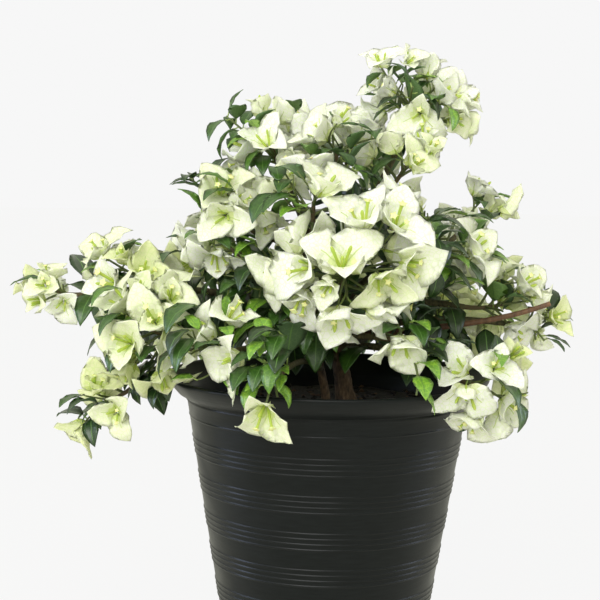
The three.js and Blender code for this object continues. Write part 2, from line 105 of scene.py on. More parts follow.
# name, centre, half sizes that the shoots reach, shoots, blooms and leaves on a shoot, the limb that
# the bough forks from, how far along that limb, and the bough's radius there
MASSES = [
    ("top", (76, -8, 500), (48, 44, 46), 8, 2, 2, "main_stem", 0.97, 4.6),
    ("crest", (64, -34, 444), (48, 44, 44), 7, 2, 2, "bough_top", 0.55, 3.2),
    ("top_centre", (4, -52, 458), (46, 42, 38), 6, 2, 2, "bough_top", 0.4, 3.2),
    ("upper_left", (-52, -22, 461), (48, 42, 42), 6, 1, 3, "main_stem", 0.9, 4.2),
    ("upper_middle", (-14, -94, 414), (46, 42, 42), 6, 2, 2, "second_stem", 0.97, 2.8),
    ("left_upper", (-92, -52, 400), (46, 44, 44), 6, 1, 3, "bough_upper_left", 0.35, 3),
    ("front_heart", (16, -122, 362), (64, 48, 54), 9, 2, 1, "second_stem", 0.8, 2.8),
    ("right_middle", (98, -58, 374), (48, 46, 50), 6, 1, 2, "main_stem", 0.82, 4),
    ("right_upper", (130, 14, 402), (38, 38, 36), 4, 1, 2, "bough_right", 0.55, 2.6),
    ("right", (154, 4, 322), (46, 46, 44), 7, 2, 2, "main_stem", 0.9, 4.2),
    ("right_tip", (192, 14, 304), (24, 28, 26), 4, 1, 2, "main_stem", 0.65, 3.4),
    ("right_low", (130, -100, 264), (42, 40, 44), 6, 2, 2, "main_stem", 0.6, 3.6),
    ("front_low", (68, -112, 306), (42, 40, 36), 5, 1, 2, "second_stem", 0.6, 2.6),
    ("left_middle", (-168, -20, 340), (50, 46, 34), 6, 2, 2, "bough_far_left", 0.6, 2.8),
    ("far_left", (-248, -4, 328), (42, 32, 20), 5, 1, 2, "main_stem", 0.8, 4),
    ("left_low", (-150, -76, 302), (54, 50, 50), 7, 2, 1, "main_stem", 0.62, 3.8),
    ("left_hanging", (-194, -50, 236), (40, 34, 30), 5, 1, 2, "bough_left_low", 0.75, 2.8),
    ("front_left", (-98, -118, 292), (44, 40, 38), 6, 1, 2, "main_stem", 0.5, 3),
    ("front_sprig", (-46, -146, 276), (34, 34, 38), 4, 1, 3, "second_stem", 0.45, 2.6),
    ("inner_left", (-62, -64, 350), (42, 38, 38), 5, 0, 4, "second_stem", 0.85, 2.6),
    ("inner_leaves", (-24, -80, 314), (40, 34, 36), 4, 0, 4, "second_stem", 0.7, 2.6),
    ("back_top", (14, 56, 450), (50, 46, 44), 6, 1, 1, "bough_top", 0.3, 3),
    ("back_left", (-100, 58, 372), (54, 50, 48), 7, 1, 1, "main_stem", 0.85, 3.8),
    ("back_right", (88, 68, 378), (52, 50, 48), 7, 1, 1, "main_stem", 0.9, 3.8),
    ("back_heart", (-6, 116, 336), (58, 48, 50), 7, 1, 1, "main_stem", 0.75, 3.8),
    ("back_left_low", (-122, 98, 288), (54, 50, 44), 6, 1, 1, "main_stem", 0.6, 3.4),
    ("back_right_low", (112, 106, 288), (54, 50, 44), 6, 1, 1, "main_stem", 0.55, 3.4),
]

# ---- Numbers of the finer growth, in millimetres ----------------------------------------------------

LEAF_LENGTH, LEAF_WIDTH = 40, 23
BRACT_LENGTH, BRACT_WIDTH = 38, 31
OPENINGS = [(38, 1), (28, 1), (50, 0.9), (22, 0.88), (34, 0.76), (16, 0.68)]  # degrees, scale
BLOOM_LEAN = 38  # degrees that a bloom may lean from its twig
BLOOM_TRIES = 5  # leans tried for each bloom
PETIOLE = 8
STALK = (12, 24)  # the stalk under a side bloom
SPURS = 8  # finer twigs tried on each shoot
SPUR_LENGTH = (10, 34)
TUBE_LENGTH = 21  # a flower's tube
BOUGH_LEAF_STEP = 5  # between leaves tried along a bough
YOUNG_SHARE = 0.14  # of the tufts
TUFTS_BY_BLOOMS = 0.35  # tufts kept in the masses that are nearly all blooms
YOUNG = 3  # the brightest of the leaves' shades
BOX_CLEAR = 6  # how far a mass may pass the box of the CAD crown
SPRAY_CLEAR = 10  # how far a lone spray may pass it
REACH_CLEAR = 14  # how far a blade may pass its mass's reach
MOST_BLADES = 12000

# Spaces that stay open in the crown: their low and high corners.
CLEARINGS = [
    ((96, -210, 304), (208, -34, 340)),  # in front of the cut branch
    ((-132, -210, 200), (-84, -60, 257)),  # over the left of the rim
    ((-28, -210, 240), (57, -88, 286)),  # the dark hollow over the rim
    ((98, -300, 408), (124, 100, 474)),  # the sky to the right of the crest
    ((76, -300, 413), (100, 60, 443)),  # the sky under the crest
    ((146, -60, 384), (190, 60, 400)),  # the sky under the spray at the right
    ((-170, -140, 398), (-128, 110, 425)),  # the sky over the left spray
    ((176, -110, 256), (240, 60, 276)),  # the sky between the right sprays
    ((-310, -60, 280), (-254, 60, 309)),  # the sky under the left spray's tip
    ((-270, -110, 240), (-221, 40, 268)),  # the sky beside the hanging spray
]
# Spaces where no bloom begins, and spaces where no leaf lies.
LEAFY = [
    ((-40, -210, 280), (100, -60, 328)),  # under the front cluster
    ((-54, -170, 384), (-28, -80, 416)),  # left of the front cluster
    ((-4, -150, 420), (50, -70, 456)),  # over the front cluster
    ((-136, -200, 288), (-104, -100, 320)),  # over the left of the rim
    ((76, -200, 240), (104, -90, 292)),  # over the right of the rim
    ((74, -200, 356), (98, -84, 412)),  # right of the front cluster
    ((58, -80, 508), (84, 10, 536)),  # inside the top
    ((30, 60, 230), (90, 160, 300)),  # over the back rim
]
FLOWERY = [((-38, -220, 324), (84, -116, 412))]  # the front cluster

# Sprays that stand out by themselves: the mass, the points from its own stem to the spray's tip, the
# way its bloom faces, the bloom's scale or None, the leaves, and their shade.
LONE_SPRAYS = [
    ("front_sprig", [(-44, -150, 280), (-51, -170, 253)], (-0.1, -0.66, -0.74), 1.0, 6, 3),
    ("front_left", [(-80, -132, 296), (-72, -140, 290)], (-0.75, -0.45, -0.4), 1.15, 3, 3),
    ("front_low", [(80, -140, 284), (74, -160, 262)], (-0.5, -0.6, -0.6), None, 3, 3),
    ("upper_left", [(-80, -24, 480), (-96, -22, 492)], (-1, 0, 0.3), None, 9, 1),
    ("left_upper", [(-112, -34, 424), (-128, -28, 436)], (-1, 0, 0.3), None, 7, 0),
    ("left_middle", [(-194, -20, 354), (-206, -20, 362)], (-0.5, -0.3, 0.8), 0.85, 2, 1),
    ("left_hanging", [(-208, -56, 228), (-218, -54, 216)], (-0.5, -0.2, -0.8), 0.85, 4, 0),
    ("left_low", [(-160, -54, 268), (-174, -50, 254)], (-0.3, -0.2, -0.9), None, 6, 0),
    ("top", [(52, -16, 524), (44, -12, 538)], (-0.2, -0.4, 0.9), 0.7, 2, 1),
    ("top", [(66, -14, 526), (66, -10, 542)], (0.1, -0.5, 0.8), 0.6, 2, 3),
    ("right_upper", [(136, 12, 410), (132, 14, 422)], (-0.2, -0.4, 1), 0.92, 3, 1),
    ("right_upper", [(148, 14, 404), (156, 14, 408)], (1, -0.4, 0.1), 0.8, 2, 1),
    ("right_tip", [(202, 8, 312), (206, 6, 310)], (0.7, -0.6, 0.1), 0.68, 1, 0),
    ("right_tip", [(196, 12, 296), (202, 10, 288)], (0.4, -0.2, -0.9), None, 3, 0),
    ("left_low", [(-160, -52, 262), (-168, -50, 244)], (-0.2, -0.3, -0.9), None, 7, 0),
    ("left_low", [(-144, -72, 266), (-148, -70, 248)], (0, -0.2, -0.9), None, 8, 0),
    ("back_heart", [(30, 140, 306), (36, 148, 276)], (0, 0.4, -1), None, 9, 0),
    ("back_heart", [(-24, 140, 306), (-20, 146, 280)], (0, 0.4, -1), None, 9, 0),
    ("back_heart", [(44, 144, 300), (52, 151, 266)], (0, 0.4, -1), None, 14, 0),
    ("back_heart", [(60, 118, 300), (46, 110, 262)], (0, -0.3, -1), None, 10, 0),
    ("right_middle", [(86, -96, 386), (89, -120, 392)], (0.3, -0.8, 0.2), None, 5, 0),
    ("right_middle", [(90, -90, 366), (94, -112, 366)], (0.3, -0.8, -0.2), None, 5, 0),
    ("right_middle", [(80, -94, 400), (84, -116, 408)], (0.2, -0.8, 0.3), None, 5, 0),
    ("top", [(68, -30, 510), (71, -50, 520)], (0.1, -0.9, 0.2), None, 4, 0),
    ("top_centre", [(16, -84, 448), (22, -104, 444)], (0.1, -0.8, -0.1), None, 5, 0),
    ("back_right", [(72, 116, 310), (70, 134, 268)], (0, 0.4, -1), None, 9, 0),
]

# The blooms of the large cluster at the front: where each begins, and the way it faces.
CLUSTER = [
    ((10, -150, 366), (0, -0.72, 0.68)),
    ((8, -150, 334), (0, -0.62, -0.78)),
    ((42, -146, 361), (0.3, -0.75, -0.5)),
    ((-14, -140, 366), (-0.55, -0.82, 0.1)),
    ((-20, -138, 346), (-0.55, -0.7, -0.45)),
    ((40, -140, 378), (0.2, -0.9, 0.35)),
    ((4, -128, 388), (-0.15, -0.8, 0.55)),
    ((28, -130, 396), (0.05, -0.8, 0.6)),
    ((54, -126, 398), (0.2, -0.75, 0.55)),
    ((60, -132, 370), (0.6, -0.75, -0.1)),
    ((62, -132, 308), (0.1, -0.65, -0.7)),
    ((-34, -116, 356), (-0.8, -0.6, -0.1)),
    ((10, -116, 410), (-0.1, -0.5, 0.85)),
    ((48, -112, 414), (0.1, -0.5, 0.85)),
]
CLUSTER_SCALE = 1.12
BLOOMS_ALONE = ("front_sprig",)  # masses whose only blooms are those of their lone sprays
BLOOM_SCALES = {
    "far_left": 0.7,
    "top": 0.84,
    "crest": 0.86,
    "front_heart": 1.12,
    "upper_middle": 1.05,
    "right_tip": 0.82,
    "left_hanging": 0.85,
}


# ---- Small helpers ----------------------------------------------------------------------------------


def chance(*keys):
    """A fixed number from 0 to 1 for each set of keys, the same as in the part's source."""
    mask = 0xFFFFFFFF
    h = 0x2545F491
    for key in keys:
        h = ((h ^ ((key + 0x9E3779B9) & mask)) * 0x85EBCA6B) & mask
        h ^= h >> 13
    h = ((h ^ (h >> 16)) * 0xC2B2AE35) & mask
    return (h ^ (h >> 16)) / 2**32


def lerp(a, b, t):
    return a + (b - a) * t


def level(direction, axis):
    """The direction turned square to an axis."""
    return (direction - axis * direction.dot(axis)).normalized()


def square_to(axis):
    helper = Vector((1, 0, 0)) if abs(axis.z) > 0.9 else UP
    first = helper.cross(axis).normalized()
    return first, axis.cross(first)


def splay(axis, polar, turn):
    """The direction at a polar angle from an axis, turned about it."""
    first, second = square_to(axis)
    side = first * math.cos(turn) + second * math.sin(turn)
    return axis * math.cos(polar) + side * math.sin(polar)


def srgb(red, green, blue):
    """A linear colour from the usual 0 to 255 values."""

    def linear(value):
        c = value / 255
        return c / 12.92 if c <= 0.04045 else ((c + 0.055) / 1.055) ** 2.4

    return linear(red), linear(green), linear(blue), 1


class Curve:
    """A Bezier curve through its control points."""

    def __init__(self, *controls):
        self.controls = controls

    def spot(self, t):
        """The point at t, and the curve's direction there."""
        points = self.controls
        while len(points) > 2:
            points = [a.lerp(b, t) for a, b in zip(points, points[1:])]
        return points[0].lerp(points[1], t), (points[1] - points[0]).normalized()

    def points(self, steps):
        return [self.spot(i / steps)[0] for i in range(steps + 1)]


class Twig:
    """A thin limb: its centre line, its radii, and the side that turns are counted from."""

    def __init__(self, centres, root_radius, tip_radius):
        self.centres = centres
        count = len(centres) - 1
        self.radii = [lerp(root_radius, tip_radius, i / count) for i in range(count + 1)]
        self.across = square_to((centres[1] - centres[0]).normalized())[0]

    def spot(self, t, turn=0.0):
        """The point at t, the direction there, and the outward direction at a turn about it."""
        last = len(self.centres) - 1
        piece = min(int(t * last), last - 1)
        start, end = self.centres[piece], self.centres[piece + 1]
        along = (end - start).normalized()
        first = level(self.across, along)
        out = first * math.cos(turn) + along.cross(first) * math.sin(turn)
        return start.lerp(end, t * last - piece), along, out


# ---- Limbs ------------------------------------------------------------------------------------------


class Limb:
    def __init__(self, name, curve, root_radius, tip_radius, flare=0.0):
        self.name, self.curve = name, curve
        self.root_radius, self.tip_radius, self.flare = root_radius, tip_radius, flare

    def radius(self, t):
        swell = 1 + self.flare * max(0, 1 - t / 0.3) ** 2
        return lerp(self.root_radius, self.tip_radius, t) * swell


def rooted_stem(name, foot, lean, tip, root_radius, tip_radius, flare):
    foot, tip = Vector(foot), Vector(tip)
    curve = Curve(foot, foot.lerp(tip, 0.5) + Vector(lean), tip)
    return Limb(name, curve, root_radius, tip_radius, flare)


def forked_bough(name, parent, fork, tip, root_radius, tip_radius, turn=BOUGH_TURN, droop=BOUGH_DROOP):
    start, tangent = parent.curve.spot(fork)
    pull = 0.35 * (tip - start).length
    outwards = (tip - start).normalized()
    leaving = outwards.lerp(tangent, turn).normalized()
    arriving = (outwards - UP * droop).normalized()
    curve = Curve(start, start + leaving * pull, tip - arriving * pull, tip)
    return Limb(name, curve, root_radius, tip_radius)


class Mass:
    def __init__(self, index, row):
        self.name, centre, reach, self.shoots, self.blooms, self.leaves = row[:6]
        self.parent, self.fork, self.root_radius = row[6:]
        if self.name in BLOOMS_ALONE:
            self.blooms = 0
        self.index = index
        self.centre, self.reach = Vector(centre), Vector(reach)
        self.middle, self.half = np.array(centre), np.array(reach)
        self.size = sum(reach) / 3
        self.bough = "bough_" + self.name

    def region(self):
        """The part of the crown that this mass's pieces are joined into."""
        x, y, z = self.centre
        if y > 40:
            return "back"
        if z > 430:
            return "top"
        if x < -80:
            return "left"
        return "right" if x > 60 else "front"

    def bloom_share(self):
        """How many of the finer twigs end in a bloom."""
        return min(0.95, 1.9 * self.blooms / (self.blooms + self.leaves))


def grow_limbs(masses):
    limbs = {row[0]: rooted_stem(*row) for row in STEMS}
    name, parent, fork, tip, *shape = CUT_BRANCH
    limbs[name] = forked_bough(name, limbs[parent], fork, Vector(tip), *shape)
    by_bough = {mass.bough: mass for mass in masses}

    def grow(mass):
        if mass.bough in limbs:
            return
        if mass.parent not in limbs:
            grow(by_bough[mass.parent])
        parent = limbs[mass.parent]
        start = parent.curve.spot(mass.fork)[0]
        tip = mass.centre + (start - mass.centre).normalized() * 0.62 * mass.size
        bough = forked_bough(mass.bough, parent, mass.fork, tip, mass.root_radius, BOUGH_TIP)
        limbs[mass.bough] = bough

    for mass in masses:
        grow(mass)
    return limbs


# ---- Room: what twigs and blades keep clear of ------------------------------------------------------


def crossings(segments, triangles):
    """True if any segment (S, 2, 3) passes through any triangle (T, 3, 3)."""
    if not len(segments) or not len(triangles):
        return False
    start, way = segments[:, None, 0], (segments[:, 1] - segments[:, 0])[:, None]
    corner = triangles[None, :, 0]
    edge1 = (triangles[:, 1] - triangles[:, 0])[None]
    edge2 = (triangles[:, 2] - triangles[:, 0])[None]
    p = np.cross(way, edge2)
    det = (edge1 * p).sum(-1)
    det = np.where(np.abs(det) < 1e-9, 1e-9, det)
    away = start - corner
    u = (away * p).sum(-1) / det
    q = np.cross(away, edge1)
    v = (way * q).sum(-1) / det
    t = (edge2 * q).sum(-1) / det
    return bool(((u >= 0) & (v >= 0) & (u + v <= 1) & (t > 0.02) & (t < 1)).any())


def clear_of_pot(points):
    z = points[:, 2]
    from_axis = np.hypot(points[:, 0], points[:, 1])
    body = BODY_RADIUS - TAPER * (POT_HEIGHT - z)
    wall = np.where(z > POT_HEIGHT - RIM_DEPTH - POT_CLEAR, RIM_RADIUS, body) + POT_CLEAR
    return bool(((z > POT_HEIGHT + POT_CLEAR) | (from_axis > wall)).all())


class Room:
    """The space of the whole bush, with the limbs, twigs and blades that are already there."""

    def __init__(self, limbs, box):
        self.low, self.high = (np.array(corner) / MM for corner in box)
        self.clearings, self.leafy, self.flowery = (np.array(b) for b in (CLEARINGS, LEAFY, FLOWERY))
        starts, ends, radii = [], [], []
        for limb in limbs.values():
            points = limb.curve.points(8)
            starts += points[:-1]
            ends += points[1:]
            radii += [limb.radius(i / 8) for i in range(8)]
        self.starts, self.ways = np.array(starts), np.array(ends) - np.array(starts)
        self.radii = np.array(radii)
        self.middles = np.zeros((MOST_BLADES, 3))
        self.triangles = np.zeros((MOST_BLADES, 5, 3, 3))
        self.blades = 0
        self.segments = np.zeros((MOST_BLADES * 2, 2, 3))
        self.owners = np.zeros(MOST_BLADES * 2, int)
        self.pieces = 0

    def in_boxes(self, boxes, points):
        low, high = boxes[:, 0], boxes[:, 1]
        return bool(((points[:, None] > low) & (points[:, None] < high)).all(-1).any())

    def in_box(self, points, clear):
        return bool(((points > self.low - clear) & (points < self.high + clear)).all())

    def in_reach(self, points, mass):
        share = (points - mass.middle) / (mass.half + REACH_CLEAR)
        return bool(((share**2).sum(1) < 1).all())

    def is_free(self, points, mass):
        """True if the points lie in the mass's reach, or it is None, and clear of the pot, of the
        clearings and of every limb."""
        if mass and not self.in_reach(points, mass):
            return False
        if not self.in_box(points, BOX_CLEAR if mass else SPRAY_CLEAR):
            return False
        if self.in_boxes(self.clearings, points) or not clear_of_pot(points):
            return False
        away = points[:, None] - self.starts[None]
        t = (away * self.ways).sum(-1) / (self.ways**2).sum(-1)
        nearest = away - np.clip(t, 0, 1)[..., None] * self.ways
        return bool((np.linalg.norm(nearest, axis=-1) > self.radii + LIMB_CLEAR).all())

    def near_triangles(self, middle, reach):
        near = np.linalg.norm(self.middles[: self.blades] - middle, axis=1) < reach
        return self.triangles[: self.blades][near].reshape(-1, 3, 3)

    def near_segments(self, middle, reach, owner):
        near = np.linalg.norm(self.segments[: self.pieces].mean(1) - middle, axis=1) < reach
        return self.segments[: self.pieces][near & (self.owners[: self.pieces] != owner)]

    def takes_path(self, centres, mass):
        points = np.array(centres)
        segments = np.stack([points[:-1], points[1:]], 1)
        reach = 45 + np.linalg.norm(points[-1] - points[0]) / 2
        return self.is_free(points[1:], mass) and not crossings(
            segments, self.near_triangles(points.mean(0), reach)
        )

    def add_path(self, centres, owner):
        points = np.array(centres)
        count = len(points) - 1
        rows = slice(self.pieces, self.pieces + count)
        self.segments[rows] = np.stack([points[:-1], points[1:]], 1)
        self.owners[rows] = owner
        self.pieces += count

    def takes_blade(self, blade, mass, owner):
        triangles = blade.triangles
        corners = triangles.reshape(-1, 3)
        if not self.is_free(np.concatenate([corners[1:], triangles.mean(1)]), mass):
            return False
        middle = corners.mean(0)
        if crossings(self.near_segments(middle, 40, owner), triangles):
            return False
        others = self.near_triangles(middle, 52)
        edges = [np.stack([triangles[:, i], triangles[:, (i + 1) % 3]], 1) for i in range(3)]
        if crossings(np.concatenate(edges), others):
            return False
        edges = [np.stack([others[:, i], others[:, (i + 1) % 3]], 1) for i in range(3)]
        return not crossings(np.concatenate(edges), triangles)

    def add_blade(self, blade):
        self.triangles[self.blades] = blade.triangles
        self.middles[self.blades] = blade.triangles.reshape(-1, 3).mean(0)
        self.blades += 1


# ---- Blades: leaves and bracts ----------------------------------------------------------------------


def flare(t):
    """The share of its whole bend that a blade has at t: most of it lies near the tip."""
    return 0.5 * t + 0.5 * t**3


class Blade:
    """A leaf or bract: where it grows, how it lies, and how it curls."""

    def __init__(self, root, along, facing, length, width, curl, fold, wave, keys, shade=0):
        self.root, self.along = root, along
        self.across = along.cross(facing).normalized()
        self.normal = self.across.cross(along).normalized()
        self.length, self.width = length, width
        self.curl, self.fold, self.wave = curl, fold, wave
        self.phase = 2 * math.pi * chance(*keys, 31)
        self.shade = shade
        self.triangles = self.rough_triangles()

    def place(self, t, side):
        bend = self.curl * flare(t)
        run = t * self.length
        lift = self.fold * abs(side) * self.width / 2
        point = self.root + self.along * (run * math.cos(bend / 2))
        point += self.normal * (run * math.sin(bend / 2) + lift)
        return point + self.across * (side * self.width / 2)

    def rough_triangles(self):
        edge = [self.place(0.3, 0.95), self.place(0.68, 0.8), self.place(1, 0)]
        edge += [self.place(0.68, -0.8), self.place(0.3, -0.95)]
        fan = [(self.root, a, b) for a, b in zip(edge, edge[1:])]
        fan.append((self.place(0.3, 0.95), self.place(0.68, 0), self.place(0.3, -0.95)))
        return np.array([[tuple(p) for p in triangle] for triangle in fan])


# ---- The bush ---------------------------------------------------------------------------------------


class Bush:
    """Everything that has grown, by region: twigs by kind, leaves, bracts and flowers."""

    def __init__(self, limbs, box):
        self.room = Room(limbs, box)
        self.twigs = defaultdict(list)
        self.leaves = defaultdict(list)
        self.bracts = defaultdict(list)
        self.flowers = defaultdict(list)
        self.owner = 0

    def new_owner(self):
        self.owner += 1
        return self.owner


def leaf_shade(mass, keys):
    """The leaf's green, dealt out by spray: lower ones are deeper."""
    height = (mass.centre.z - 240) / 280
    return min(2, int(3 * (0.55 * chance(*keys) + 0.35 * height + 0.1)))


def bract_shade(mass, keys):
    """The bract's white, dealt out by spray and by place: painted light makes the front and top the whitest, and
    painted shade makes the back and the lower ones creamier.
    """
    # painted light and shade: bracts get whiter towards the front and top, creamier towards the back and lower
    # down
    light = 0.4 + 0.0016 * (mass.centre.z - 300) - 0.0014 * mass.centre.y
    return min(3, max(0, int(4 * (0.75 * chance(*keys) + 0.55 - light))))


def add_leaf(bush, mass, spot, lean, outwards, keys, owner, scale=1.0, shade=None, reach=None):
    """A leaf on its petiole, turned further outwards until it has room within the reach."""
    at, along, out = spot
    shade = leaf_shade(mass, keys) if shade is None else shade
    size = scale * (0.78 + 0.44 * chance(*keys, 5))
    facing = UP + outwards * 0.35 + out * 0.1
    for turn_out in (0, 0.35, 0.7):
        way = along.lerp(out, lean).lerp(outwards, turn_out).normalized()
        petiole_end = at + (way + UP * 0.25).normalized() * PETIOLE * size
        drop = -0.35 - 0.9 * chance(*keys, 6)
        way = (way - UP * 0.25 * chance(*keys, 7)).normalized()
        if abs(way.dot(facing.normalized())) > 0.97:
            continue
        length, width = LEAF_LENGTH * size, LEAF_WIDTH * size
        blade = Blade(petiole_end, way, facing, length, width, drop, 0.22, 0.05, keys, shade)
        if bush.room.in_boxes(bush.room.flowery, blade.triangles.reshape(-1, 3)):
            continue
        if bush.room.takes_blade(blade, reach, owner):
            bush.room.add_blade(blade)
            bush.leaves[mass.region()].append(blade)
            middle = at.lerp(petiole_end, 0.5) - UP * 0.6
            bush.twigs[mass.region(), "petiole"].append(Twig([at, middle, petiole_end], 0.75, 0.6))
            return True
    return False


def open_bracts(bush, reach, at, axis, keys, owner, scale, shade):
    """Three bracts round the axis, each opened as far as it has room, or None."""
    first, second = square_to(axis)
    start = chance(*keys, 2)
    bracts = []
    if reach and bush.room.in_boxes(bush.room.leafy, np.array([at])):
        return None
    for k in range(3):
        turn = 2 * math.pi * (start + k / 3)
        lean = first * math.cos(turn) + second * math.sin(turn)
        tilt = 16 * (chance(*keys, 3, k) - 0.5)
        for opening, share in OPENINGS:
            polar = math.radians(opening + tilt)
            along = axis * math.cos(polar) + lean * math.sin(polar)
            facing = axis + along.cross(axis) * 0.7 * (chance(*keys, 10, k) - 0.5)
            curl = 0.1 - 1.5 * chance(*keys, 4, k)
            size = scale * share * (0.9 + 0.2 * chance(*keys, 11, k))
            length, width = BRACT_LENGTH * size, BRACT_WIDTH * size * (0.85 + 0.3 * chance(*keys, 12, k))
            blade = Blade(at + lean * 1.2, along, facing, length, width, curl, 0.34, 0.1, (*keys, k), shade)
            if bush.room.takes_blade(blade, reach, owner):
                bracts.append((blade, lean))
                break
        else:
            return None
    return bracts


def add_bloom(bush, mass, at, axis, keys, owner, scale=None):
    """Bracts round the end of a twig, at the first lean where they have room, and their flowers. A
    bloom with a scale of its own keeps its axis if it can, and may pass its mass's reach."""
    shade = bract_shade(mass, (mass.index, keys[1], 77))
    reach = None if scale else mass
    for n in range(BLOOM_TRIES):
        lean = 0 if scale and n == 0 else math.radians(BLOOM_LEAN) * math.sqrt(chance(*keys, 90, n))
        tried = splay(axis, lean, 2 * math.pi * chance(*keys, 91, n))
        size = scale or BLOOM_SCALES.get(mass.name, 1) * (0.84 + 0.3 * chance(*keys, 1))
        bracts = open_bracts(bush, reach, at, tried, (*keys, n), owner, size, shade)
        if bracts:
            break
    else:
        return False
    region = mass.region()
    for k, (blade, lean) in enumerate(bracts):
        bush.room.add_blade(blade)
        bush.bracts[region].append(blade)
        tube_axis = tried.lerp(blade.along, 0.45).normalized()
        length = size * (0.8 + 0.35 * chance(*keys, 8, k))
        is_open = chance(*keys, 9, k) < 0.45
        bush.flowers[region].append((at + lean * 1.5, tube_axis, length, is_open))
    return True


class Shoot:
    """A twig that ends in a bloom or in leaves, with what it needs to grow on."""

    def __init__(self, bush, mass, twig, facing, keys, blooms):
        self.mass, self.twig, self.facing, self.keys, self.blooms = mass, twig, facing, keys, blooms
        self.outwards = (mass.centre - CROWN_HEART).normalized()
        self.leaves = 0
        self.owner = bush.new_owner()
        bush.room.add_path(twig.centres, self.owner)


def grow_stem(bush, mass, bough):
    """The mass's own stem goes on from its bough's tip, through the centre."""
    outwards = (mass.centre - CROWN_HEART).normalized()
    start, along = bough.curve.spot(1)
    end = mass.centre + outwards * 0.15 * mass.size
    bend = start + along * 0.5 * (end - start).length
    stem = Twig(Curve(start - along * 4, bend, end).points(8), BOUGH_TIP, STEM_TIP - 0.8)
    bush.twigs[mass.region(), "woody"].append(stem)
    bush.room.add_path(stem.centres, bush.new_owner())
    return stem


def lone_sprays(bush, mass, stem):
    """The mass's lone sprays, each with its bloom and its leaves."""
    for n, (name, points, facing, scale, leaves, shade) in enumerate(LONE_SPRAYS):
        if name != mass.name:
            continue
        centres = Curve(stem.spot(0.6)[0], *(Vector(point) for point in points)).points(8)
        twig = Twig(centres, 1.5, 0.9)
        bush.twigs[mass.region(), "green"].append(twig)
        keys = (mass.index, 400 + n)
        shoot = Shoot(bush, mass, twig, Vector(facing).normalized(), keys, 1)
        if scale:
            add_bloom(bush, mass, centres[-1], shoot.facing, (*keys, 19), shoot.owner, scale)
        for k in range(leaves):
            spot = twig.spot(lerp(0.35, 1, (k + 0.5) / leaves), k * GOLDEN + 1.2)
            add_leaf(bush, mass, spot, 0.75, shoot.outwards, (*keys, 80 + k), shoot.owner, 0.7, shade)


def grow_cluster(bush, mass, stem):
    """The blooms of the front cluster, on stalks from the mass's own stem."""
    for n, (place, facing) in enumerate(CLUSTER):
        tip, facing = Vector(place), Vector(facing).normalized()
        root = stem.spot(0.5 + 0.4 * chance(n, 21))[0]
        centres = Curve(root, tip - facing * 0.4 * (tip - root).length, tip).points(6)
        twig = Twig(centres, 1.3, 0.9)
        bush.twigs[mass.region(), "green"].append(twig)
        keys = (mass.index, 500 + n)
        shoot = Shoot(bush, mass, twig, facing, keys, 1)
        scale = CLUSTER_SCALE * (0.9 + 0.2 * chance(n, 22))
        add_bloom(bush, mass, tip, facing, (*keys, 19), shoot.owner, scale)


def grow_shoots(bush, mass, stem):
    """The mass's shoots fan out from its stem by the golden angle."""
    outwards = (mass.centre - CROWN_HEART).normalized()
    for s in range(mass.shoots):
        keys = (mass.index, s)
        share = (s + 0.5) / mass.shoots
        polar = math.radians(SHOOT_CONE) * math.sqrt(share) * (0.9 + 0.2 * chance(*keys, 11))
        direction = splay(outwards, polar, s * GOLDEN + 2 * math.pi * chance(mass.index, 12))
        reach = 0.5 + 0.22 * chance(*keys, 13)
        root = stem.spot(lerp(0.95, 0.35, share))[0]
        tip = mass.centre + Vector(d * r for d, r in zip(direction, mass.reach)) * reach
        bend = root.lerp(tip, 0.5) + outwards * 0.18 * (tip - root).length
        centres = Curve(root, bend, tip).points(6)
        if bush.room.takes_path(centres, mass):
            facing = (direction + UP * 0.3).normalized()
            twig = Twig(centres, 1.5, 0.9)
            bush.twigs[mass.region(), "green"].append(twig)
            yield Shoot(bush, mass, twig, facing, keys, mass.blooms)


def end_bloom(bush, shoot):
    tip = shoot.twig.centres[-1]
    return add_bloom(bush, shoot.mass, tip, shoot.facing, (*shoot.keys, 19), shoot.owner)


def side_blooms(bush, shoot, count):
    """Blooms on stalks of their own, which part from the shoot just below its tip."""
    for n in range(count):
        at, _, out = shoot.twig.spot(0.93 - 0.12 * n, 2.2 * n + 6.28 * chance(*shoot.keys, 6))
        away = out.lerp(shoot.facing, 0.45).normalized()
        reach = lerp(*STALK, chance(*shoot.keys, 7, n))
        centres = Curve(at, at + shoot.facing * reach * 0.45, at + away * reach).points(3)
        if not bush.room.takes_path(centres, shoot.mass):
            continue
        owner = bush.new_owner()
        if add_bloom(bush, shoot.mass, centres[-1], away, (*shoot.keys, 20 + n), owner):
            bush.room.add_path(centres, owner)
            bush.twigs[shoot.mass.region(), "petiole"].append(Twig(centres, 0.8, 0.7))


def grow_spurs(bush, shoot):
    """Finer twigs off a shoot, which end in a bloom or in leaves."""
    for n in range(SPURS):
        keys = (*shoot.keys, 50 + n)
        t = lerp(0.25, 0.9, (n + 0.5) / SPURS)
        at, along, out = shoot.twig.spot(t, n * GOLDEN + 6.28 * chance(*shoot.keys, 41))
        away = along.lerp(out, 0.62).lerp(shoot.outwards, 0.3).normalized()
        length = lerp(*SPUR_LENGTH, chance(*keys, 42))
        tip = at + away * length + UP * 2
        bend = at.lerp(tip, 0.5) + along * 0.15 * length
        centres = Curve(at, bend, tip).points(4)
        if not bush.room.takes_path(centres, shoot.mass):
            continue
        twig = Twig(centres, 1.0, 0.7)
        blooms = chance(*keys, 43) < shoot.mass.bloom_share()
        spur = Shoot(bush, shoot.mass, twig, (away + UP * 0.25).normalized(), keys, blooms)
        spur.blooms = blooms and end_bloom(bush, spur)
        yield spur


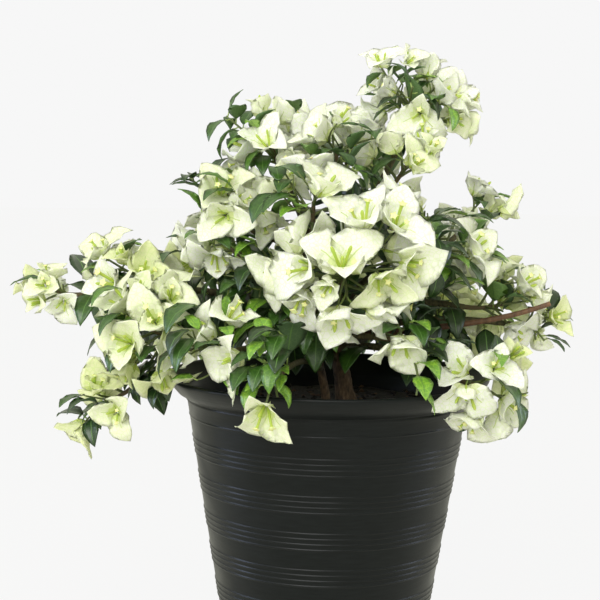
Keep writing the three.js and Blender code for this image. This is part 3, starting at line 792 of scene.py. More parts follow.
def leaves_along(bush, shoot, count, scale):
    """Leaves round a shoot by the golden angle."""
    for n in range(count):
        t = lerp(0.25, 0.85 if shoot.blooms else 0.98, (n + 0.5) / count)
        spot = shoot.twig.spot(t, n * GOLDEN + 6.28 * chance(*shoot.keys, 14))
        keys = (*shoot.keys, 80 + n)
        shoot.leaves += add_leaf(bush, shoot.mass, spot, 0.65, shoot.outwards, keys, shoot.owner, scale, None, shoot.mass)


def tuft(bush, shoot):
    """The leaves at the end of a shoot that doesn't bloom, young ones on some."""
    if shoot.mass.bloom_share() > 0.9 and chance(*shoot.keys, 46) > TUFTS_BY_BLOOMS:
        return
    young = chance(*shoot.keys, 44) < YOUNG_SHARE
    scale, shade = (0.62, YOUNG) if young else (0.88, None)
    for n in range(3):
        spot = (shoot.twig.centres[-1], shoot.facing, splay(shoot.facing, math.pi / 2, n * GOLDEN))
        keys = (*shoot.keys, 60 + n)
        shoot.leaves += add_leaf(bush, shoot.mass, spot, 0.5, shoot.outwards, keys, shoot.owner, scale, shade, shoot.mass)


def leaf_boughs(bush, masses, limbs):
    """Leaves along the outer part of each bough, which darken the inside of the crown: they take only the two
    deepest greens, as painted shade.
    """
    for mass in masses:
        twig = Twig(limbs[mass.bough].curve.points(10), 3, BOUGH_TIP)
        length = sum((b - a).length for a, b in zip(twig.centres, twig.centres[1:]))
        count = int(0.8 * length / BOUGH_LEAF_STEP)
        for n in range(count):
            at, along, out = twig.spot(lerp(0.2, 0.98, (n + 0.5) / count), n * GOLDEN + mass.index)
            keys = (mass.index, 300 + n)
            # painted shade: only the two deepest greens, for the inside of the crown
            shade = int(chance(*keys, 45) < 0.25)
            add_leaf(bush, mass, (at + out * 4.5, along, out), 0.8, out, keys, -1, 1.05, shade)


def grow_bush(masses, limbs, box):
    """Shoots first, then all the blooms, and the leaves where room is left."""
    bush = Bush(limbs, box)
    stems = [(mass, grow_stem(bush, mass, limbs[mass.bough])) for mass in masses]
    for mass, stem in stems:
        lone_sprays(bush, mass, stem)
        if mass.name == "front_heart":
            grow_cluster(bush, mass, stem)
    shoots = [shoot for mass, stem in stems for shoot in grow_shoots(bush, mass, stem)]
    blooming = [shoot for shoot in shoots if shoot.blooms]
    for shoot in blooming:
        shoot.blooms = end_bloom(bush, shoot)
    for shoot in blooming:
        side_blooms(bush, shoot, shoot.mass.blooms + 2)
    spurs = [spur for shoot in shoots for spur in grow_spurs(bush, shoot)]
    for shoot in [*shoots, *spurs]:
        if not shoot.blooms:
            tuft(bush, shoot)
    for shoot in shoots:
        leaves_along(bush, shoot, shoot.mass.leaves + 2, 1.0)
    for spur in spurs:
        leaves_along(bush, spur, 2, 0.9)
    for spur in spurs:
        if spur.blooms or spur.leaves:
            bush.twigs[spur.mass.region(), "green"].append(spur.twig)
    leaf_boughs(bush, masses, limbs)
    return bush


# ---- Joined meshes from arrays ----------------------------------------------------------------------


def mesh_object(name, vertices, faces, face_sizes, zones, materials, smooth=True):
    """One mesh from arrays: vertices in millimetres, and faces as one flat row of vertex numbers."""
    mesh = bpy.data.meshes.new(name)
    mesh.vertices.add(len(vertices))
    mesh.vertices.foreach_set("co", (vertices * MM).astype(np.float32).ravel())
    mesh.loops.add(len(faces))
    mesh.loops.foreach_set("vertex_index", faces.astype(np.int32))
    mesh.polygons.add(len(face_sizes))
    starts = np.concatenate([[0], np.cumsum(face_sizes)[:-1]])
    mesh.polygons.foreach_set("loop_start", starts.astype(np.int32))
    for material in materials:
        mesh.materials.append(material)
    mesh.polygons.foreach_set("material_index", zones.astype(np.int32))
    mesh.polygons.foreach_set("use_smooth", np.full(len(face_sizes), smooth))
    mesh.update(calc_edges=True)
    mesh.validate()
    made = bpy.data.objects.new(name, mesh)
    bpy.context.scene.collection.objects.link(made)
    return made


class Template:
    """A grid that is bent into every blade of one kind: a closed shell that thins to its outline."""

    def __init__(self, rows, shares, sides, rib, zone_of):
        """Rib is the rib's half width and where it ends, as shares of the blade's."""
        columns = len(sides)
        grid = [(t, share, side) for t, share in zip(rows, shares) for side in sides]
        self.count_top = len(grid) + 1
        points = [*grid, (1.0, 0.0, 0.0)]
        tip = len(grid)
        below = {}
        for index, (t, _, side) in enumerate(grid):
            if abs(side) < 1 and index >= columns:
                below[index] = len(points)
                points.append((t, shares[index // columns], side))
        self.t, self.share, self.side = np.array(points).T
        self.under = np.arange(len(points)) >= self.count_top
        self.row = np.concatenate([np.arange(tip) // columns, [len(rows)], [k // columns for k in below]])
        faces, sizes, zones = [], [], []
        for i in range(len(rows)):
            for j in range(columns - 1):
                a, b = i * columns + j, i * columns + j + 1
                corners = [a, b, tip] if i == len(rows) - 1 else [a, b, b + columns, a + columns]
                middle = (sides[j] + sides[j + 1]) / 2
                zone = 2 if abs(middle) < rib[0] and rows[i] < rib[1] else zone_of(rows[i], middle)
                lower = [below.get(c, c) for c in reversed(corners)]
                for face, face_zone in ((corners, zone), (lower, 2 if zone == 2 else zone_of(rows[i], 9))):
                    faces += face
                    sizes.append(len(face))
                    zones.append(face_zone)
        self.faces, self.sizes, self.zones = np.array(faces), np.array(sizes), np.array(zones)


def column(blades, name):
    values = [getattr(blade, name) for blade in blades]
    return np.array([tuple(v) if isinstance(v, Vector) else v for v in values], float)


def blades_mesh(name, blades, template, thickness, quilt, crease, materials):
    """All the blades of one kind in one region, bent from the template. Quilt is how far they bulge
    between their veins, and crease how sharply they fold at the rib."""
    t, side, share = template.t[None], template.side[None], template.share[None]
    length, width = column(blades, "length")[:, None], column(blades, "width")[:, None]
    curl, fold = column(blades, "curl")[:, None], column(blades, "fold")[:, None]
    wave, phase = column(blades, "wave")[:, None], column(blades, "phase")[:, None]
    across_run = side * share * width / 2
    lift = fold * (crease * np.abs(across_run) + (1.3 - crease) * across_run**2 / (width / 2))
    ripple = np.sin(9 * t + phase + 2.5 * np.sign(side)) + 0.5 * np.sin(19 * t + 2 * phase - side)
    lift += wave * width * side**2 * share * ripple
    lift += quilt * share * (1 - side**2) * np.where(template.row[None] % 2 == 0, 1, -1)
    lift += quilt * 1.6 * np.exp(-((side / 0.16) ** 2)) * (1 - t)
    lift -= template.under[None] * thickness
    bend = curl * flare(t)
    run = length * t * np.cos(bend / 2)
    rise = length * t * np.sin(bend / 2)
    y = run - lift * np.sin(bend)
    z = rise + lift * np.cos(bend)
    frame = [column(blades, key)[:, None, :] for key in ("root", "across", "along", "normal")]
    vertices = frame[0] + across_run[..., None] * frame[1] + y[..., None] * frame[2] + z[..., None] * frame[3]
    count = len(template.t)
    offsets = np.arange(len(blades))[:, None] * count
    faces = (template.faces[None] + offsets).ravel()
    sizes = np.tile(template.sizes, len(blades))
    shades = np.array([blade.shade for blade in blades])[:, None]
    shade_count = (len(materials) - 1) // 2
    zones = np.where(template.zones[None] == 2, 2 * shade_count, template.zones[None] * shade_count + shades)
    return mesh_object(name, vertices.reshape(-1, 3), faces, sizes, zones.ravel(), materials)


def ring_faces(rings, sides):
    """Quads between rings of points numbered in a row, then the two end fans onto single points."""
    quads = [
        (i * sides + k, i * sides + (k + 1) % sides, (i + 1) * sides + (k + 1) % sides, (i + 1) * sides + k)
        for i in range(rings - 1)
        for k in range(sides)
    ]
    start, end = rings * sides, rings * sides + 1
    last = (rings - 1) * sides
    caps = [(start, (k + 1) % sides, k) for k in range(sides)]
    caps += [(end, last + k, last + (k + 1) % sides) for k in range(sides)]
    return quads, caps


def tubes_arrays(tubes, sides):
    """Vertices of many tubes with the same number of rings: (N, rings * sides + 2, 3)."""
    centres = np.array([[tuple(c) for c in tube.centres] for tube in tubes])
    radii = np.array([tube.radii for tube in tubes])
    across = np.array([tuple(tube.across) for tube in tubes])
    count = centres.shape[1]
    turns = 2 * np.pi * np.arange(sides) / sides
    rings = []
    for i in range(count):
        along = centres[:, min(i + 1, count - 1)] - centres[:, max(i - 1, 0)]
        along /= np.linalg.norm(along, axis=1, keepdims=True)
        across = across - along * (across * along).sum(1, keepdims=True)
        across /= np.linalg.norm(across, axis=1, keepdims=True)
        other = np.cross(along, across)
        spokes = across[:, None] * np.cos(turns)[None, :, None] + other[:, None] * np.sin(turns)[None, :, None]
        rings.append(centres[:, i, None] + spokes * radii[:, i, None, None])
    return np.concatenate([*rings, centres[:, :1], centres[:, -1:]], 1)


def tubes_mesh(name, groups, sides, materials):
    """Twigs of several kinds in one mesh. Each group is a list of twigs, with its own material."""
    vertices, faces, sizes, zones = [], [], [], []
    offset = 0
    for zone, tubes in enumerate(groups):
        by_rings = defaultdict(list)
        for tube in tubes:
            by_rings[len(tube.centres)].append(tube)
        for rings, alike in sorted(by_rings.items()):
            points = tubes_arrays(alike, sides)
            quads, caps = ring_faces(rings, sides)
            one = np.array([v for face in [*quads, *caps] for v in face])
            starts = offset + np.arange(len(alike))[:, None] * points.shape[1]
            faces.append((one[None] + starts).ravel())
            sizes.append(np.tile([4] * len(quads) + [3] * len(caps), len(alike)))
            zones.append(np.full(len(alike) * (len(quads) + len(caps)), zone))
            vertices.append(points.reshape(-1, 3))
            offset += points.shape[0] * points.shape[1]
    return mesh_object(
        name,
        np.concatenate(vertices),
        np.concatenate(faces),
        np.concatenate(sizes),
        np.concatenate(zones),
        materials,
    )


# A flower's rings: the height as a share of the tube, the radius, and how far its lobes stand out.
OPEN_FLOWER = [
    (0, 0.8, 0),
    (0.12, 1.25, 0),
    (0.4, 1.0, 0),
    (0.85, 1.15, 0),
    (0.95, 1.6, 0.1),
    (1.02, 2.8, 0.35),
    (1.0, 1.1, 0.1),
]
CLOSED_FLOWER = [
    (0, 0.8, 0),
    (0.12, 1.25, 0),
    (0.4, 1.0, 0),
    (0.7, 1.2, 0),
    (0.82, 1.5, 0),
    (0.93, 1.1, 0),
    (0.98, 0.5, 0),
]


def flowers_mesh(name, flowers, materials):
    sides = 10
    turns = 2 * np.pi * np.arange(sides) / sides
    quads, caps = ring_faces(len(OPEN_FLOWER), sides)
    one = np.array([v for face in [*quads, *caps] for v in face])
    sizes = [4] * len(quads) + [3] * len(caps)
    mouth = [1 if face[0] >= 4 * sides else 0 for face in quads] + [0] * sides + [1] * sides
    vertices, faces, zones = [], [], []
    for n, (root, axis, size, is_open) in enumerate(flowers):
        first, second = (np.array(v) for v in square_to(axis))
        root, axis = np.array(root), np.array(axis)
        profile = OPEN_FLOWER if is_open else CLOSED_FLOWER
        rings = []
        for height, radius, lobe in profile:
            spread = (radius * size * (1 + lobe * np.cos(5 * turns)))[:, None]
            spokes = first * np.cos(turns)[:, None] + second * np.sin(turns)[:, None]
            rings.append(root + axis * TUBE_LENGTH * size * height + spokes * spread)
        top = root + axis * TUBE_LENGTH * size * (0.97 if is_open else 1.0)
        vertices.append(np.concatenate([*rings, [root], [top]]))
        faces.append(one + n * (len(profile) * sides + 2))
        zones.append(mouth if is_open else [0] * len(sizes))
    return mesh_object(
        name,
        np.concatenate(vertices),
        np.concatenate(faces),
        np.tile(sizes, len(flowers)),
        np.concatenate(zones),
        materials,
    )


# ---- Bark -------------------------------------------------------------------------------------------


WOODY = ("main_stem", "second_stem")  # the limbs with old bark


def limb_arrays(limb, index, sides=16):
    """A limb with ridged bark, leaf scars and a collar where it forks."""
    length = sum((b - a).length for a, b in zip(limb.curve.points(10), limb.curve.points(10)[1:]))
    rings = max(12, int(length / 2.2))
    bark_depth = 1 if limb.name in WOODY else 0.5
    across = square_to(limb.curve.spot(0)[1])[0]
    points = []
    for i in range(rings):
        t = i / (rings - 1)
        centre, along = limb.curve.spot(t)
        across = level(across, along)
        other = along.cross(across)
        collar = 1 + (0 if limb.flare else 0.45) * max(0, 1 - t * length / 14) ** 2
        scar = 0.05 * max(0, math.cos(2 * math.pi * t * length / 31 + index)) ** 12
        for k in range(sides):
            turn = 2 * math.pi * k / sides
            spoke = across * math.cos(turn) + other * math.sin(turn)
            grain = noise.noise(Vector((3 * math.cos(turn), 3 * math.sin(turn), t * length * 0.07 + 9 * index)))
            crease = noise.noise(Vector((8 * math.cos(turn), 8 * math.sin(turn), t * length * 0.25 - index)))
            relief = 1 + bark_depth * (0.09 * grain + 0.06 * crease) + scar
            radius = limb.radius(t) * collar * relief
            points.append(centre + spoke * radius)
    points += [limb.curve.spot(0)[0], limb.curve.spot(1)[0]]
    if limb.flare:
        for point in points:
            point.z = max(point.z, SOIL_TOP - 4)
    return np.array([tuple(p) for p in points]), rings


def bark_mesh(limbs, materials):
    vertices, faces, sizes, zones = [], [], [], []
    offset, sides = 0, 16
    for index, limb in enumerate(limbs.values()):
        points, rings = limb_arrays(limb, index, sides)
        quads, caps = ring_faces(rings, sides)
        faces.append(np.array([v for face in [*quads, *caps] for v in face]) + offset)
        sizes += [4] * len(quads) + [3] * len(caps)
        bark = 0 if limb.name in WOODY else 3 if limb.name == "cut_branch" else 1
        cut_end = [2 if limb.name == "cut_branch" else bark] * sides
        zones += [bark] * (len(quads) + sides) + cut_end
        vertices.append(points)
        offset += len(points)
    return mesh_object(
        "bark", np.concatenate(vertices), np.concatenate(faces), np.array(sizes), np.array(zones), materials
    )


# ---- Materials --------------------------------------------------------------------------------------


def plain_material(name, color, roughness, **extra):
    """A surface with one colour of its own. Extra inputs are named with underscores."""
    material = bpy.data.materials.new(name)
    material.use_nodes = True
    shader = material.node_tree.nodes["Principled BSDF"]
    shader.inputs["Base Color"].default_value = color
    shader.inputs["Roughness"].default_value = roughness
    for key, value in extra.items():
        shader.inputs[key.replace("_", " ")].default_value = value
    return material


def shades(name, colors, vein_tint, roughness, **extra):
    """Veined materials for a blade's shades. The tint is what a vein takes of the blade's own colour."""
    return [
        veined_material(f"{name}_{i}", srgb(*c), srgb(*(v * t for v, t in zip(c, vein_tint))), roughness, **extra)
        for i, c in enumerate(colors)
    ]


def noise_node(tree, scale, detail, stretch=(1, 1, 1)):
    """Noise over the object's own coordinates, in cycles per metre."""
    nodes, links = tree.nodes, tree.links
    place = nodes.new("ShaderNodeTexCoord")
    mapping = nodes.new("ShaderNodeMapping")
    mapping.inputs["Scale"].default_value = stretch
    texture = nodes.new("ShaderNodeTexNoise")
    texture.inputs["Scale"].default_value = scale
    texture.inputs["Detail"].default_value = detail
    links.new(place.outputs["Object"], mapping.inputs["Vector"])
    links.new(mapping.outputs["Vector"], texture.inputs["Vector"])
    return texture


def ramp_node(tree, source, stops):
    ramp = tree.nodes.new("ShaderNodeValToRGB")
    elements = ramp.color_ramp.elements
    while len(elements) < len(stops):
        elements.new(0.5)
    for element, (place, color) in zip(elements, stops):
        element.position, element.color = place, color
    tree.links.new(source, ramp.inputs["Fac"])
    return ramp


def bump_into(tree, shader, source, distance, strength=1.0):
    bump = tree.nodes.new("ShaderNodeBump")
    bump.inputs["Distance"].default_value = distance
    bump.inputs["Strength"].default_value = strength
    tree.links.new(source, bump.inputs["Height"])
    tree.links.new(bump.outputs["Normal"], shader.inputs["Normal"])


def patterned_material(name, stops, roughness, scale, detail, bump, stretch=(1, 1, 1), **extra):
    """A surface whose colour runs through the stops with a noise, and whose relief follows it."""
    material = plain_material(name, stops[0][1], roughness, **extra)
    tree = material.node_tree
    shader = tree.nodes["Principled BSDF"]
    texture = noise_node(tree, scale, detail, stretch)
    ramp = ramp_node(tree, texture.outputs["Fac"], stops)
    tree.links.new(ramp.outputs["Color"], shader.inputs["Base Color"])
    bump_into(tree, shader, texture.outputs["Fac"], bump)
    return material


def veined_material(name, color, vein, roughness, **extra):
    """A blade with a net of fine veins, a little darker or paler than the blade and pressed into it."""
    material = plain_material(name, color, roughness, **extra)
    tree = material.node_tree
    shader = tree.nodes["Principled BSDF"]
    cells = tree.nodes.new("ShaderNodeTexVoronoi")
    cells.feature = "DISTANCE_TO_EDGE"
    cells.inputs["Scale"].default_value = VEIN_CELLS
    place = tree.nodes.new("ShaderNodeTexCoord")
    tree.links.new(place.outputs["Object"], cells.inputs["Vector"])
    ramp = ramp_node(tree, cells.outputs["Distance"], [(0.01, vein), (0.11, color)])
    tree.links.new(ramp.outputs["Color"], shader.inputs["Base Color"])
    bump_into(tree, shader, ramp.outputs["Color"], VEIN_DEPTH)
    return material


def pot_material():
    """Moulded black plastic: slightly uneven gloss, fine flow lines round the pot, a trace of dust."""
    material = plain_material("pot_plastic", srgb(11, 15, 16), 0.36, Specular_IOR_Level=0.2)
    tree = material.node_tree
    shader = tree.nodes["Principled BSDF"]
    flow = noise_node(tree, 60, 3, (1, 1, 9))
    tones = [(0.3, srgb(8, 12, 13)), (0.75, srgb(16, 20, 21))]
    color = ramp_node(tree, flow.outputs["Fac"], tones)
    gloss = noise_node(tree, 26, 4)
    rough = ramp_node(tree, gloss.outputs["Fac"], [(0.3, (0.3, 0.3, 0.3, 1)), (0.7, (0.46, 0.46, 0.46, 1))])
    tree.links.new(color.outputs["Color"], shader.inputs["Base Color"])
    tree.links.new(rough.outputs["Color"], shader.inputs["Roughness"])
    bump_into(tree, shader, flow.outputs["Fac"], 0.00012)
    return material


VEIN_CELLS, VEIN_DEPTH = 230, 0.0004  # cells in a metre, and metres
# The leaves' greens, from deep to young; the bough leaves inside the crown take the two deepest as painted shade.
LEAF_TOPS = [(32, 56, 22), (48, 82, 26), (74, 115, 34), (106, 152, 48)]
LEAF_UNDERS = [(72, 98, 62), (84, 114, 66), (104, 140, 74), (142, 176, 92)]
# The bracts' whites and their greener bases, from white to green cream: real tones, which bract_shade deals out
# whiter to the front and top as painted light and creamier to the back and lower down as painted shade.
BRACT_BLADES = [(253, 254, 243), (250, 252, 232), (243, 247, 212), (232, 238, 184)]
BRACT_BASES = [(240, 245, 200), (232, 240, 182), (219, 230, 156), (203, 218, 128)]


def leaf_materials():
    tops = shades("leaf_top", LEAF_TOPS, (1.3, 1.18, 1.2), 0.36, Coat_Weight=0.25, Coat_Roughness=0.25)
    unders = shades("leaf_under", LEAF_UNDERS, (1.15, 1.1, 1.1), 0.6)
    return [*tops, *unders, plain_material("leaf_rib", srgb(88, 124, 60), 0.45)]


def bract_materials():
    paper = {"Subsurface_Weight": 0.5, "Subsurface_Scale": 0.002, "Specular_IOR_Level": 0.25}
    paper["Subsurface_Radius"] = (1.0, 1.0, 1.0)
    blades = shades("bract_paper", BRACT_BLADES, (0.95, 0.98, 0.88), 0.62, **paper)
    bases = shades("bract_base", BRACT_BASES, (0.95, 0.98, 0.88), 0.62, **paper)
    return [*blades, *bases, plain_material("bract_rib", srgb(206, 220, 150), 0.6, **paper)]


def flower_materials():
    return [
        plain_material("flower_tube", srgb(176, 196, 84), 0.5, Subsurface_Weight=0.2, Subsurface_Scale=0.001),
        plain_material("flower_mouth", srgb(240, 242, 168), 0.5, Subsurface_Weight=0.2, Subsurface_Scale=0.001),
    ]


def twig_materials():
    return [
        plain_material("twig_woody", srgb(88, 76, 50), 0.75),
        plain_material("twig_green", srgb(92, 104, 56), 0.6),
        plain_material("stalk_green", srgb(140, 160, 84), 0.55),
    ]


def bark_materials():
    brown = [(0.3, srgb(52, 40, 28)), (0.55, srgb(96, 76, 54)), (0.75, srgb(128, 106, 80))]
    green = [(0.3, srgb(54, 54, 32)), (0.6, srgb(90, 84, 52)), (0.8, srgb(116, 104, 70))]
    reddish = [(0.3, srgb(84, 58, 40)), (0.6, srgb(118, 84, 58)), (0.8, srgb(142, 110, 80))]
    return [
        patterned_material("bark_brown", brown, 0.85, 420, 6, 0.0006, (1, 1, 0.35)),
        patterned_material("bark_young", green, 0.75, 420, 6, 0.0004, (1, 1, 0.35)),
        plain_material("cut_wood", srgb(196, 150, 104), 0.8),
        patterned_material("bark_branch", reddish, 0.6, 260, 4, 0.0002, (1, 1, 0.3)),
    ]


# ---- Pot and soil -----------------------------------------------------------------------------------

RIB_GROUPS = [57, 91, 125, 159, 193]  # depth of each group's first rib under the rim's top
RIB_STEP, RIBS_IN_GROUP = 5, 4
RIB_HEIGHT, RIB_HALF = 0.75, 1.0
RIB_FOOT = 0.35  # of flat wall kept beside a rib, so that its shading stays its own
LATHE_SIDES = 160


def body_radius(z):
    return BODY_RADIUS - TAPER * (POT_HEIGHT - z)


def rib(depth, height=RIB_HEIGHT, half=RIB_HALF):
    """A rounded rib's profile, from its lower edge up."""
    z = POT_HEIGHT - depth
    foot = half + RIB_FOOT
    steps = [(-foot, 0), (-half, 0), (-0.55 * half, 0.75), (0, 1), (0.55 * half, 0.75), (half, 0), (foot, 0)]
    return [(body_radius(z + dz) + height * share, z + dz) for dz, share in steps]


def pot_profile():
    depths = [first + RIB_STEP * k for first in RIB_GROUPS for k in range(RIBS_IN_GROUP)]
    neck = POT_HEIGHT - RIM_DEPTH
    foot = body_radius(0)
    outside = [(0, 2.5), (foot - 12, 2.5), (foot - 9, 0), (foot - 1.5, 0), (foot, 1.5)]
    for depth in sorted(depths, reverse=True):
        outside += rib(depth)
    outside += rib(37, 0.5, 0.9)
    outside += [
        (body_radius(neck - 4), neck - 4),
        (body_radius(neck) + 0.6, neck - 2.4),
        (body_radius(neck) - 0.2, neck - 1.6),
        (body_radius(neck) + 1.2, neck - 0.4),
        (body_radius(neck) + 3, neck + 1),
        (RIM_RADIUS - 10.5, neck + 4),
        (RIM_RADIUS - 7, neck + 8),
        (RIM_RADIUS - 3.6, neck + 12),
        (RIM_RADIUS - 1, neck + 16),
        (RIM_RADIUS, neck + 18),
        (RIM_RADIUS - 0.3, POT_HEIGHT - 0.8),
        (RIM_RADIUS - 1.4, POT_HEIGHT),
        (RIM_RADIUS - 3.4, POT_HEIGHT - 0.2),
        (RIM_RADIUS - 4.6, POT_HEIGHT - 1.6),
    ]
    inside = [
        (RIM_RADIUS - 9, POT_HEIGHT - 8),
        (body_radius(neck) + 1, neck + 6),
        (body_radius(neck) - WALL, neck),
        (body_radius(120) - WALL, 120),
        (body_radius(FLOOR + 2) - WALL, FLOOR + 2),
        (body_radius(FLOOR) - WALL - 2, FLOOR),
        (0, FLOOR),
    ]
    return outside + inside


def lathe_mesh(name, profile, materials, sides=LATHE_SIDES, shift=None):
    """A closed lathe. The profile starts and ends on the axis; shift may move each point up."""
    rings = profile[1:-1]
    turns = 2 * np.pi * np.arange(sides) / sides
    points = [(r * math.cos(a), r * math.sin(a), z) for r, z in rings for a in turns]
    points += [(0, 0, profile[0][1]), (0, 0, profile[-1][1])]
    if shift:
        points = [(x, y, z + shift(x, y, z)) for x, y, z in points]
    quads, caps = ring_faces(len(rings), sides)
    faces = np.array([v for face in [*quads, *caps] for v in face])
    sizes = np.array([4] * len(quads) + [3] * len(caps))
    return mesh_object(name, np.array(points), faces, sizes, np.zeros(len(sizes)), materials)


def drain_cutter():
    """The drain holes' cylinders, as one mesh."""
    holes = []
    for i in range(DRAINS):
        turn = 2 * math.pi * i / DRAINS
        x, y = DRAIN_CIRCLE * math.cos(turn), DRAIN_CIRCLE * math.sin(turn)
        holes.append(Twig([Vector((x, y, -6)), Vector((x, y, 16))], DRAIN_RADIUS, DRAIN_RADIUS))
    return tubes_mesh("drain_cutter", [holes], 24, [])


def make_pot():
    pot = lathe_mesh("pot_moulding", pot_profile(), [pot_material()])
    cutter = drain_cutter()
    cut = pot.modifiers.new("drains", "BOOLEAN")
    cut.operation, cut.object, cut.solver = "DIFFERENCE", cutter, "EXACT"
    bpy.context.view_layer.update()
    whole = pot.evaluated_get(bpy.context.evaluated_depsgraph_get())
    mesh = bpy.data.meshes.new_from_object(whole)
    pot.modifiers.clear()
    pot.data = mesh
    bpy.data.objects.remove(cutter)
    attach(pot, "root")
    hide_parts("pot")


def soil_lumps(x, y, z):
    if z < SOIL_TOP - 3:
        return 0
    coarse = noise.noise(Vector((x, y, 3)) * 0.045)
    fine = noise.noise(Vector((x, y, 7)) * 0.22)
    return 3.2 * coarse + 1.6 * fine - 1


def make_soil():
    stops = [(0.3, srgb(15, 12, 10)), (0.5, srgb(30, 24, 19)), (0.72, srgb(54, 43, 33))]
    peat = patterned_material("soil_peat", stops, 0.95, 300, 8, 0.0015)
    low = FLOOR + 1
    edge = body_radius(SOIL_TOP) - WALL - 0.4
    rings = [(edge * (1 - i / 26), SOIL_TOP) for i in range(26)]
    profile = [(0, low), (body_radius(low) - WALL - 2.4, low), (edge, SOIL_TOP - 5), *rings, (0, SOIL_TOP)]
    bed = lathe_mesh("soil_bed", profile, [peat], 72, soil_lumps)
    crumb_mesh = crumbs(edge - 5, [peat, plain_material("soil_bark_chip", srgb(84, 62, 42), 0.9)])
    for piece in (bed, crumb_mesh):
        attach(piece, "root")
        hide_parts("soil")


def crumbs(reach, materials, count=420):
    """Crumbs and bark chips that lie half sunk on the soil, each a squashed octahedron."""
    corners = np.array([(1, 0, 0), (0, 1, 0), (-1, 0, 0), (0, -1, 0), (0, 0, 1), (0, 0, -1)], float)
    one = [(0, 1, 4), (1, 2, 4), (2, 3, 4), (3, 0, 4), (1, 0, 5), (2, 1, 5), (3, 2, 5), (0, 3, 5)]
    vertices, faces, zones = [], [], []
    for n in range(count):
        turn, far = n * GOLDEN, reach * math.sqrt(chance(n, 1))
        x, y = far * math.cos(turn), far * math.sin(turn)
        size = 1.4 + 3.2 * chance(n, 2) ** 2
        stretch = np.array([size * (0.7 + chance(n, 3)), size * 0.7, size * (0.4 + 0.3 * chance(n, 4))])
        spin = 6.28 * chance(n, 5)
        spun = corners * stretch
        c, s = math.cos(spin), math.sin(spin)
        spun = spun @ np.array([(c, s, 0), (-s, c, 0), (0, 0, 1)])
        vertices.append(spun + (x, y, SOIL_TOP + soil_lumps(x, y, SOIL_TOP) + 0.2 * size))
        faces.append(np.array(one).ravel() + 6 * n)
        zones += [1 if chance(n, 6) < 0.3 else 0] * 8
    sizes = np.full(8 * count, 3)
    return mesh_object(
        "soil_crumbs", np.concatenate(vertices), np.concatenate(faces), sizes, np.array(zones), materials, False
    )


# ---- Pieces of the plant ----------------------------------------------------------------------------


def leaf_template():
    rows = [0.0, 0.1, 0.24, 0.4, 0.56, 0.72, 0.86, 0.95]
    shares = [0.1, 0.5, 0.86, 1.0, 0.93, 0.7, 0.38, 0.14]
    sides = [-1, -0.52, -0.045, 0.045, 0.52, 1]
    return Template(rows, shares, sides, (0.04, 0.8), lambda t, middle: int(middle == 9))


def is_bract_base(t, middle):
    """The greener zone at a bract's foot, which runs up beside its rib."""
    return int(t < 0.12 or (t < 0.3 and abs(middle) < 0.4))


def bract_template():
    rows = [0.0, 0.07, 0.18, 0.3, 0.42, 0.54, 0.67, 0.8, 0.91]
    shares = [0.2, 0.65, 0.92, 1.0, 1.0, 0.96, 0.83, 0.58, 0.27]
    sides = [-1, -0.72, -0.38, -0.035, 0.035, 0.38, 0.72, 1]
    return Template(rows, shares, sides, (0.04, 0.5), is_bract_base)


def add_pieces(bush, masses):
    nodes = defaultdict(list)
    for mass in masses:
        nodes[mass.region()].append("mass_" + mass.name)
    leaf, bract = leaf_template(), bract_template()
    leaf_paint, bract_paint = leaf_materials(), bract_materials()
    flower_paint, twig_paint = flower_materials(), twig_materials()
    for region, members in nodes.items():
        kinds = [bush.twigs[region, kind] for kind in ("woody", "green", "petiole")]
        made = [
            (tubes_mesh("twigs_" + region, kinds, 6, twig_paint), "bark"),
            (blades_mesh("leaves_" + region, bush.leaves[region], leaf, 0.5, 0.35, 0.9, leaf_paint), "foliage"),
            (blades_mesh("bracts_" + region, bush.bracts[region], bract, 0.35, 0.4, 0.4, bract_paint), "foliage"),
            (flowers_mesh("flowers_" + region, bush.flowers[region], flower_paint), "foliage"),
        ]
        for piece, slot in made:
            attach(piece, "root")
            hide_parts(*members)


# ---- Stage ------------------------------------------------------------------------------------------

FOCAL = 1600 / 600  # focal length as a share of the picture's width
EYE = (0, -1.4785, 0.4742)
YAW, PITCH, ROLL = 1.045, 5.815, -0.844  # degrees: turned left, looking down, tilted
BACKGROUND = 0.93
WORLD_LIGHT = 0.86
FLOOR_GLOW = 0.89


def make_camera():
    """A camera from its place and its own right, down and forward directions."""
    data = bpy.data.cameras.new("camera")
    data.sensor_width = 36
    data.lens = 36 * FOCAL
    camera = bpy.data.objects.new("camera", data)
    yaw, pitch, roll = (math.radians(angle) for angle in (YAW, PITCH, ROLL))
    forward = Vector((-math.sin(yaw) * math.cos(pitch), math.cos(yaw) * math.cos(pitch), -math.sin(pitch)))
    level_right = Vector((math.cos(yaw), math.sin(yaw), 0))
    level_down = forward.cross(level_right)
    right = level_right * math.cos(roll) + level_down * math.sin(roll)
    axes = Matrix((right, right.cross(forward), -forward)).transposed()
    camera.matrix_world = Matrix.Translation(EYE) @ axes.to_4x4()
    bpy.context.scene.collection.objects.link(camera)
    bpy.context.scene.camera = camera


def area_light(name, place, target, size, power, color=(1, 1, 1), sheen_only=False):
    """A soft light whose size is its width and height. Sheen only means that it shows in glossy
    surfaces alone."""
    data = bpy.data.lights.new(name, "AREA")
    data.shape, data.energy, data.color = "RECTANGLE", power, color
    data.size, data.size_y = size
    light = bpy.data.objects.new(name, data)
    light.location = place
    light.rotation_mode = "QUATERNION"
    light.rotation_quaternion = (Vector(target) - Vector(place)).to_track_quat("-Z", "Y")
    light.visible_diffuse = not sheen_only
    bpy.context.scene.collection.objects.link(light)


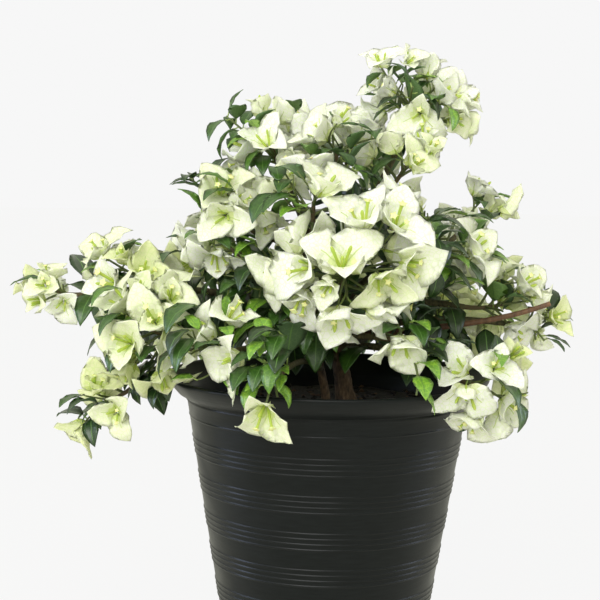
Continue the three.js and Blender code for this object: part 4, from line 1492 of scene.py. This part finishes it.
def make_backdrop():
    """A pale floor and dome that only the camera sees: the world alone lights the bush from all round."""
    turns = 2 * np.pi * np.arange(96) / 96
    vertices = np.stack([9000 * np.cos(turns), 9000 * np.sin(turns), np.full(96, -0.5)], 1)
    pale = plain_material("stage_floor", (0.04, 0.04, 0.04, 1), 1, Specular_IOR_Level=0)
    glow(pale, FLOOR_GLOW)
    floor = mesh_object("stage_floor", vertices, np.arange(96), np.array([96]), np.zeros(1), [pale], False)
    backdrop = plain_material("stage_backdrop", (0, 0, 0, 1), 1, Specular_IOR_Level=0)
    glow(backdrop, BACKGROUND)
    profile = [(0, -40), (8990, -40), (8990, 1500), (7000, 5600), (4000, 8000), (0, 9000)]
    dome = lathe_mesh("stage_backdrop", profile, [backdrop], 48)
    for piece in (floor, dome):
        piece.visible_diffuse = piece.visible_glossy = piece.visible_shadow = False
        piece.visible_transmission = False


def glow(material, strength):
    shader = material.node_tree.nodes["Principled BSDF"]
    shader.inputs["Emission Color"].default_value = (1, 1, 1, 1)
    shader.inputs["Emission Strength"].default_value = strength


def make_stage():
    make_backdrop()
    world = bpy.data.worlds.new("studio")
    world.use_nodes = True
    background = world.node_tree.nodes["Background"]
    background.inputs["Color"].default_value = (1, 1, 0.85, 1)
    background.inputs["Strength"].default_value = WORLD_LIGHT
    bpy.context.scene.world = world
    area_light("key", (-0.8, -2.4, 1.7), (0, 0, 0.35), (2, 2), 61, (0.98, 0.99, 1))
    area_light("left_strip", (-2.0, -0.15, 0.5), (0, 0, 0.2), (0.5, 1.4), 20, (0.6, 0.7, 1), True)
    area_light("right_strip", (2.0, 0.1, 0.5), (0, 0, 0.2), (0.4, 1.4), 13, (0.7, 0.78, 1), True)
    bpy.context.scene.view_settings.view_transform = "Standard"


def box_list(bounds):
    return [list(corner) for corner in bounds]


def main():
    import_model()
    cad_box = box_list(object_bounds())
    masses = [Mass(index, row) for index, row in enumerate(MASSES)]
    limbs = grow_limbs(masses)
    bush = grow_bush(masses, limbs, cad_box)
    bark = bark_mesh(limbs, bark_materials())
    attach(bark, "root")
    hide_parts(*limbs)
    add_pieces(bush, masses)
    make_pot()
    make_soil()
    make_stage()
    make_camera()


main()
